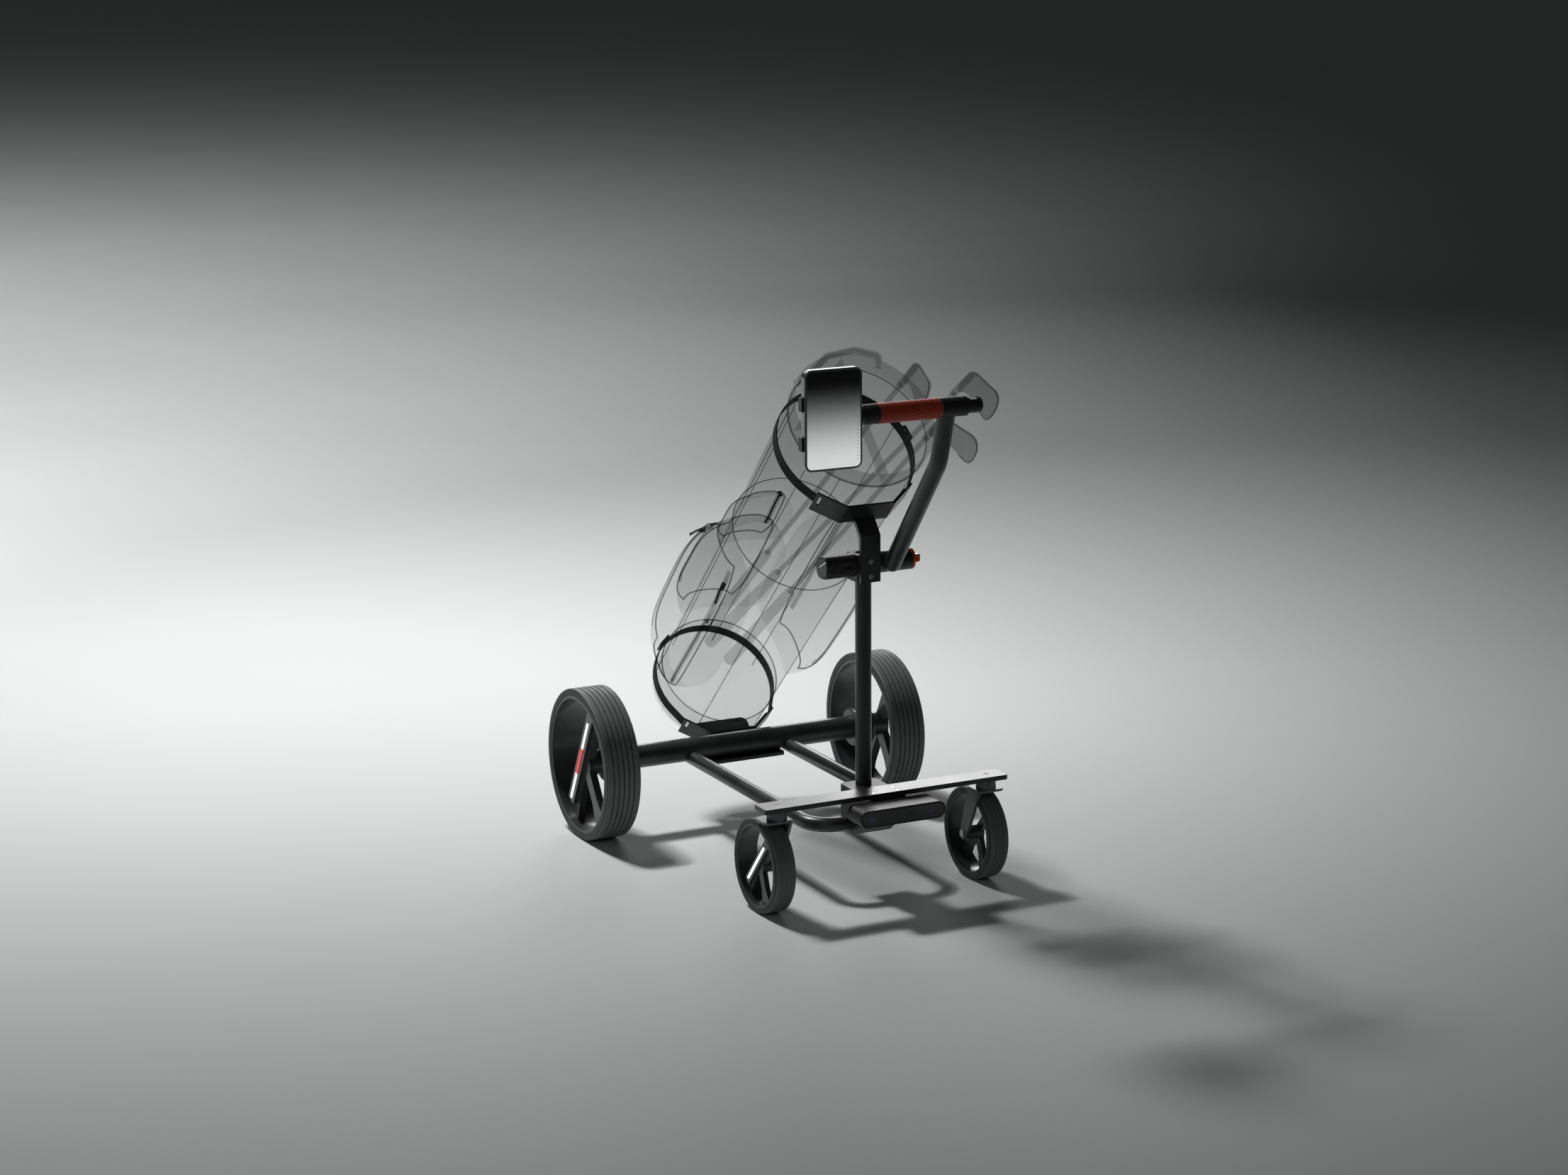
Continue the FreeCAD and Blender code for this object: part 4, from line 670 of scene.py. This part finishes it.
class Iron:
    """One iron's line and its head's place, in the row frame."""

    def __init__(self, bag, mouth, slopes, s_grip, s_heel, twist):
        slope = Vector((slopes[0], slopes[1], 1))
        start, end = (Vector(mouth) + slope * (s - mouth[2]) for s in (s_grip, s_heel))
        line = (end - start).normalized()
        twisted = Matrix.Rotation(math.radians(twist), 3, "Z").to_quaternion()
        turn = Vector((0, 0, 1)).rotation_difference(line) @ twisted
        self.bag, self.end_at, self.turn = bag, end, turn
        self.start, self.end = bag.world(*start), bag.world(*end)
        self.line = (self.end - self.start).normalized()

    def at(self, side, toe, up):
        """Point in the head's own axes, in millimetres."""
        return self.bag.world(*(self.end_at + self.turn @ (Vector((side, -toe, up)) * MM)))

    def outline(self):
        return smooth_loop([Vector(p) for p in BLADE], BLADE_STEPS)

    def head(self):
        """Blade in layers from face to back, thicker at the sole, with its hosel."""
        outline = self.outline()
        corners, count, layers = [], len(outline), len(BLADE_LAYERS)
        for share, inset in BLADE_LAYERS:
            for p in outline:
                q = BLADE_MIDDLE + (p - BLADE_MIDDLE) * inset
                sole = max(0.0, min(1.0, (q.dot(SOLE_SIDE) + 30) / 40))
                corners.append(self.at(share * (2.6 + 3.2 * sole * sole), q.x, q.y))
        faces = grid_faces(layers, count, True)
        faces += [tuple(range(count))[::-1], tuple(range((layers - 1) * count, layers * count))]
        hosel = swept([self.at(0, 0, z) for z in HOSEL_RUN], HOSEL_R, sides=16)
        return joined([(corners, faces), hosel])

    def edge(self):
        """Leading edge line from the heel round the toe."""
        return swept([self.at(-1.5, p.x, p.y) for p in self.outline()[EDGE_RUN]], 0.0011, sides=6)

    def shaft(self):
        """Shaft from inside the grip to inside the hosel."""
        near = self.start + self.line * 0.262
        far = self.end - self.line * 0.058
        return swept([near.lerp(far, i / 12) for i in range(13)], SHAFT_R, sides=14)

    def grip(self):
        """Tapered rubber grip on rings along the line."""
        corners = []
        side = self.line.orthogonal().normalized()
        over = self.line.cross(side)
        for along, share in GRIP_RINGS:
            for step in range(GRIP_SIDES):
                angle = math.tau * step / GRIP_SIDES
                out = side * math.cos(angle) + over * math.sin(angle)
                corners.append(self.start + self.line * along + out * GRIP_R * share)
        rings = len(GRIP_RINGS)
        faces = grid_faces(rings, GRIP_SIDES, True)
        faces += [tuple(range(GRIP_SIDES))[::-1], tuple(range((rings - 1) * GRIP_SIDES, rings * GRIP_SIDES))]
        return corners, faces


# ---- lamps and marks ------------------------------------------------------
LAMP_WHITE = (0.9, 0.92, 0.93)
CASTER_RUBBER = 0.01445      # caster rim's inner face below the tread
BLADE_RECESS = 0.0053        # caster blade's face behind the tyre's side
STRIP_OFFSET = 0.0053        # strip's middle line beside the blade's
INDICATORS = 6
EDGE_MARKS = 13


def caster_strip(side, sign, sizes):
    """Lamp strip on the outer face of a caster's blade."""
    low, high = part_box(f"{side}_caster_tyre")
    inner = (high.z - low.z) / 2 - CASTER_RUBBER
    up = Vector((0, -math.sin(sizes.tilt), math.cos(sizes.tilt)))
    across = Vector((0, math.cos(sizes.tilt), math.sin(sizes.tilt)))
    face = (high.x - low.x) / 2 - BLADE_RECESS + 0.0007
    centre = (low + high) / 2 + Vector((sign * face, 0, 0)) + across * STRIP_OFFSET + up * (0.01 * inner)
    return block(centre, across, up, Vector((1, 0, 0)), (sizes.width / 2, 0.68 * inner, 0.0006))


def indicator_dots(sizes):
    """Slanting row of lamps on the control box's end."""
    low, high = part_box("control_box")
    middle = (low.z + high.z) / 2
    return joined([ball(Vector((low.x - 0.0001, low.y + 0.006 + 0.0042 * i, middle + 0.012 - 0.0022 * i)),
                        sizes.dot * 0.7, Vector((1, 0, 0)), 0.35) for i in range(INDICATORS)])


def edge_marks(sizes):
    """Upright row of plain dots at the display's right edge."""
    low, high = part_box("display_glass")
    return joined([ball(Vector((high.x - 0.0048, low.y - 0.0001, low.z + 0.012 + 0.0062 * i)),
                        sizes.dot * 0.75, Vector((0, 1, 0)), 0.2) for i in range(EDGE_MARKS)])


# ---- stage ----------------------------------------------------------------
# name, place, aim, side, spread in degrees, watts, colour
LIGHTS = (
    ("key", (-0.8, 2.0, 3.6), (0.7, 0.8, 0.0), 0.5, 80.0, 24.0, (1.0, 1.0, 1.0)),
    ("back_light", (-1.4, 2.8, 4.8), (-3.6, 4.6, 0.0), 0.4, 148.0, 262.0, (0.99, 1.0, 0.995)),
    ("rim_card", (4.4, 8.6, 3.9), (0.0, 0.0, 0.3), 3.6, 60.0, 27.0, (1.0, 1.0, 1.0)),
    ("far_band", (-0.7, 5.0, 9.0), (-2.0, 12.6, 0.0), 3.0, 99.0, 250.0, (1.0, 1.0, 0.99)),
    ("front_fill", (-3.2, -3.6, 2.6), (0.0, 0.0, 0.4), 1.6, 90.0, 3.5, (1.0, 1.0, 1.0)),
)
WORLD_COLOUR = (0.20, 0.215, 0.21, 1.0)
WORLD_STRENGTH = 0.13


def set_floor(scene, sizes):
    """Square pale floor with a faint cloud in its paint."""
    half = sizes.floor / 2
    mesh = bpy.data.meshes.new("floor")
    mesh.from_pydata([(-half, -half, 0), (half, -half, 0), (half, half, 0), (-half, half, 0)], [],
                     [(0, 1, 2, 3)])
    floor = bpy.data.objects.new("floor", mesh)
    scene.collection.objects.link(floor)
    ground = Finish("floor_paint", specular_ior_level=0.1)
    cloud = ground.noise(0.8, 3.0)
    ground.set(base_color=ground.mix(cloud, (0.60, 0.615, 0.61), (0.66, 0.675, 0.67)),
               roughness=ground.span(cloud, 0.3, 0.7, 0.75, 0.9))
    mesh.materials.append(ground.material)


def set_lights(scene):
    """Area lights from behind, one far band and a weak front fill, over a dim world."""
    for name, place, aim, side, spread, watts, colour in LIGHTS:
        light = bpy.data.lights.new(name, "AREA")
        light.shape, light.size, light.energy, light.color = "SQUARE", side, watts, colour
        light.spread = math.radians(spread)
        obj = bpy.data.objects.new(name, light)
        obj.location = place
        obj.rotation_euler = (Vector(aim) - Vector(place)).to_track_quat("-Z", "Y").to_euler()
        scene.collection.objects.link(obj)
    world = bpy.data.worlds.new("studio")
    world.use_nodes = True
    background = world.node_tree.nodes["Background"]
    background.inputs[0].default_value = WORLD_COLOUR
    background.inputs[1].default_value = WORLD_STRENGTH
    scene.world = world
    scene.view_settings.view_transform = "Standard"


def set_camera(scene, sizes):
    """Camera at its place from the axle's middle on the ground."""
    low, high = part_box("axle_tube")
    axle = Vector((0, (low.y + high.y) / 2, 0))
    data = bpy.data.cameras.new("camera")
    data.sensor_width, data.sensor_fit, data.lens = 36.0, "HORIZONTAL", sizes.lens
    data.clip_end = 400.0
    camera = bpy.data.objects.new("camera", data)
    ahead = math.cos(sizes.pitch)
    forward = Vector((math.sin(sizes.yaw) * ahead, math.cos(sizes.yaw) * ahead, -math.sin(sizes.pitch)))
    level = Vector((math.cos(sizes.yaw), -math.sin(sizes.yaw), 0))
    rise = level.cross(forward)
    right = level * math.cos(sizes.roll) + rise * math.sin(sizes.roll)
    up = rise * math.cos(sizes.roll) - level * math.sin(sizes.roll)
    turn = Matrix((right, up, -forward)).transposed()
    camera.matrix_world = Matrix.Translation(axle + Vector(sizes.camera)) @ turn.to_4x4()
    scene.collection.objects.link(camera)
    scene.camera = camera


# ---- operators ------------------------------------------------------------
class CART_OT_finishes(bpy.types.Operator):
    """Give every shown CAD node its finish"""
    bl_idname = "cart.finishes"
    bl_label = "Finishes"

    def execute(self, context):
        bag = Bag()
        graphite = painted("graphite_powder_coat", (0.022, 0.0228, 0.024), (0.038, 0.0395, 0.042), 0.36)
        satin = painted("satin_grey_tube", (0.040, 0.041, 0.043), (0.064, 0.066, 0.069), 0.36, 0.45)
        leg_grey = painted("fork_grey", (0.085, 0.088, 0.092), (0.12, 0.124, 0.13), 0.42)
        black = moulded("black_nylon", (0.012, 0.012, 0.013), 0.42)
        matt = moulded("black_soft_touch", (0.010, 0.010, 0.011), 0.55, 2200.0, 0.3)
        steel = brushed("bright_steel", (0.52, 0.52, 0.53), 0.24)
        shell = painted("motor_shell_paint", (0.030, 0.031, 0.033), (0.045, 0.046, 0.05), 0.40)
        case = brushed("case_aluminium", (0.30, 0.305, 0.31), 0.30)
        red = moulded("red_lever_plastic", (0.78, 0.095, 0.014), 0.34, 2000.0, 0.15, 0.3)
        foam = moulded("pad_rubber", (0.010, 0.010, 0.010), 0.72, 1200.0, 0.6)
        rim = moulded("rim_satin_black", (0.026, 0.027, 0.029), 0.34, 2600.0, 0.1, 0.2)
        window = moulded("sensor_window_gloss", (0.004, 0.004, 0.005), 0.08, 900.0, 0.02, 1.0)
        lens = moulded("lens_blue_glass", (0.02, 0.05, 0.11), 0.06, 900.0, 0.02, 1.0)
        cup = smoke("base_cup_smoke", (0.30, 0.305, 0.305), 0.05, 0.09, 1500.0, 0.3, False)
        collar = smoke("collar_smoke", (0.035, 0.037, 0.037), 0.16, 0.24, 1500.0, 0.3, False)
        by_finish = [
            (graphite, "axle_saddle upright_tube cross_bar cradle_stem lower_cradle upper_cradle grip_bar "
                       "hinge_sleeve"),
            (satin, "axle_tube base_tube handle_tube"),
            (leg_grey, "left_caster_fork right_caster_fork"),
            (black, "front_hub_housing sensor_body upright_clamp control_box bag_foot_stop display_clips "
                    "display_bracket lower_strap_buckle upper_strap_buckle"),
            (matt, "control_button grip_collars thumb_control"),
            (steel, "wheel_spindles frame_screws hinge_shaft left_caster_bolt right_caster_bolt"),
            (shell, "hub_motors"), (case, "display_case"), (red, "lock_lever"),
            (foam, "lower_cradle_pads upper_cradle_pads"),
            (rim, "left_wheel_rim right_wheel_rim left_caster_rim right_caster_rim"),
            (window, "sensor_window"), (lens, "sensor_lenses"),
            (cup, "bag_base_cup"), (collar, "bag_top_collar"),
            (webbing("strap_webbing", bag), "lower_strap upper_strap"),
            (knurled("grip_red_rubber", *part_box("handle_grip")), "handle_grip"),
            (screen("display_screen", *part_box("display_glass")), "display_glass"),
        ]
        for side in ("left", "right"):
            for kind in ("", "caster_"):
                low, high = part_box(f"{side}_{kind}tyre")
                by_finish.append((rubber(f"{side}_{kind}tyre_rubber", (low + high) / 2, (high.z - low.z) / 2),
                                  f"{side}_{kind}tyre"))
            by_finish.append((lamp(f"{side}_wheel_lamp_glow", *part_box(f"{side}_wheel_lamp"), 0.9),
                              f"{side}_wheel_lamp"))
        for finish, names in by_finish:
            for name in names.split():
                NODES[name].material_slots[0].material = finish.material
        return {"FINISHED"}


class CART_OT_lamps(bpy.types.Operator):
    """Add the casters' lamp strips, the indicator dots and the screen's marks"""
    bl_idname = "cart.lamps"
    bl_label = "Lamps and marks"

    def execute(self, context):
        sizes = context.scene.cart_lamps
        white = glow("white_strip", LAMP_WHITE, sizes.strength)
        for side, sign in (("left", -1), ("right", 1)):
            piece(f"{side}_caster_lamp", *caster_strip(side, sign, sizes), f"{side}_caster_wheel", white,
                  "lamp", False)
        piece("control_box_lamps", *indicator_dots(sizes), "frame",
              glow("indicator_white", LAMP_WHITE, 1.5), "lamp")
        piece("display_edge_marks", *edge_marks(sizes), "display",
              moulded("mark_black", (0.01, 0.01, 0.01), 0.3, 900.0, 0.02), "screen_glass")
        return {"FINISHED"}


class CART_OT_bag_cloth(bpy.types.Operator):
    """Build the bag's cloth body and its pockets in place of the CAD blocks"""
    bl_idname = "cart.bag_cloth"
    bl_label = "Bag cloth"

    def execute(self, context):
        bag = Bag()
        body_cloth = smoke("body_cloth_smoke", (0.030, 0.033, 0.032), 0.17, 0.23)
        pocket_cloth = smoke("pocket_cloth_smoke", (0.036, 0.039, 0.038), 0.15, 0.21, 1600.0)
        body = piece("bag_body_cloth", *cloth_tube(bag), "frame", body_cloth, "smoke_fabric")
        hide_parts("bag_tube")
        for name, pocket in pockets(bag).items():
            skin = piece(f"{name}_cloth", *pocket.skin(), "frame", pocket_cloth, "smoke_fabric")
            if name in NODES:
                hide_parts(name)
            elif name == "bag_low_pocket":
                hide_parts("bag_front_pockets")
        return {"FINISHED"}


class CART_OT_bag_trim(bpy.types.Operator):
    """Add piping, seams, zips and pulls to the bag"""
    bl_idname = "cart.bag_trim"
    bl_label = "Bag trim"

    def execute(self, context):
        bag = Bag()
        cord = smoke("piping_smoke", (0.014, 0.015, 0.015), 0.40, 0.50, 2600.0, 0.5, False)
        tape = smoke("zip_tape_smoke", (0.03, 0.031, 0.031), 0.20, 0.30, 3000.0, 0.6)
        metal = smoke("zip_pull_dark", (0.012, 0.012, 0.013), 0.62, 0.75, 1800.0, 0.4, False)
        places = pockets(bag)
        for name, pocket in places.items():
            loop = swept(pocket.loop(0.62, 0.045, 0.955), bag.sizes.piping, True)
            piece(f"{name}_piping", *loop, "frame", cord, "smoke_fabric")
        zips, pulls = zips_and_pulls(bag, places)
        piece("bag_zips", *zips, "frame", tape, "smoke_fabric")
        piece("bag_zip_pulls", *pulls, "frame", metal, "club_smoke")
        piece("bag_body_seams", *body_seams(bag), "frame", cord, "smoke_fabric")
        return {"FINISHED"}


class CART_OT_irons(bpy.types.Operator):
    """Build the three irons with rounded blades, shafts and rubber grips"""
    bl_idname = "cart.irons"
    bl_label = "Irons"

    def execute(self, context):
        bag = Bag()
        blade = iron_finish("blade_smoke", (0.030, 0.032, 0.032), (0.055, 0.058, 0.058), 0.26, 0.2)
        shaft = iron_finish("shaft_smoke", (0.030, 0.031, 0.031), (0.050, 0.052, 0.052), 0.24, 0.2)
        grip = iron_finish("club_grip_smoke", (0.014, 0.014, 0.014), (0.026, 0.026, 0.026), 0.17, 0.0)
        edge = iron_finish("blade_edge_dark", (0.010, 0.010, 0.011), (0.020, 0.020, 0.021), 0.45, 0.0)
        for name, values in IRONS.items():
            iron = Iron(bag, *values)
            head = piece(f"{name}_head", *iron.head(), name, blade, "club_smoke")
            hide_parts(name)
            piece(f"{name}_edge", *iron.edge(), name, edge, "club_smoke")
            piece(f"{name}_shaft", *iron.shaft(), name, shaft, "club_smoke")
            piece(f"{name}_rubber_grip", *iron.grip(), name, grip, "club_smoke")
        return {"FINISHED"}


class CART_OT_stage(bpy.types.Operator):
    """Set out the floor, the lights and the camera"""
    bl_idname = "cart.stage"
    bl_label = "Stage"

    def execute(self, context):
        sizes = context.scene.cart_stage
        set_floor(context.scene, sizes)
        set_lights(context.scene)
        set_camera(context.scene, sizes)
        return {"FINISHED"}


class CART_PT_panel(bpy.types.Panel):
    """Sidebar panel with the build steps in order"""
    bl_idname = "CART_PT_panel"
    bl_label = "Golf bag on push cart"
    bl_space_type = "VIEW_3D"
    bl_region_type = "UI"
    bl_category = "Cart"

    def draw(self, context):
        for settings, steps in ((context.scene.cart_bag, ("cart.bag_cloth", "cart.bag_trim", "cart.irons")),
                                (context.scene.cart_lamps, ("cart.finishes", "cart.lamps")),
                                (context.scene.cart_stage, ("cart.stage",))):
            column = self.layout.column(align=True)
            for name in settings.__annotations__:
                column.prop(settings, name)
            for step in steps:
                column.operator(step)


GROUPS = (("cart_bag", BagSettings), ("cart_lamps", LampSettings), ("cart_stage", StageSettings))
CLASSES = (CART_OT_finishes, CART_OT_lamps, CART_OT_bag_cloth, CART_OT_bag_trim, CART_OT_irons,
           CART_OT_stage, CART_PT_panel)


def register():
    for name, group in GROUPS:
        bpy.utils.register_class(group)
        setattr(bpy.types.Scene, name, PointerProperty(type=group))
    for cls in CLASSES:
        bpy.utils.register_class(cls)


def unregister():
    for cls in reversed(CLASSES):
        bpy.utils.unregister_class(cls)
    for name, group in reversed(GROUPS):
        delattr(bpy.types.Scene, name)
        bpy.utils.unregister_class(group)


def main():
    register()
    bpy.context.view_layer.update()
    for step in (bpy.ops.cart.finishes, bpy.ops.cart.lamps, bpy.ops.cart.bag_cloth, bpy.ops.cart.bag_trim,
                 bpy.ops.cart.irons, bpy.ops.cart.stage):
        if step() != {"FINISHED"}:
            raise RuntimeError(f"{step} didn't finish")


if __name__ == "__main__":
    main()
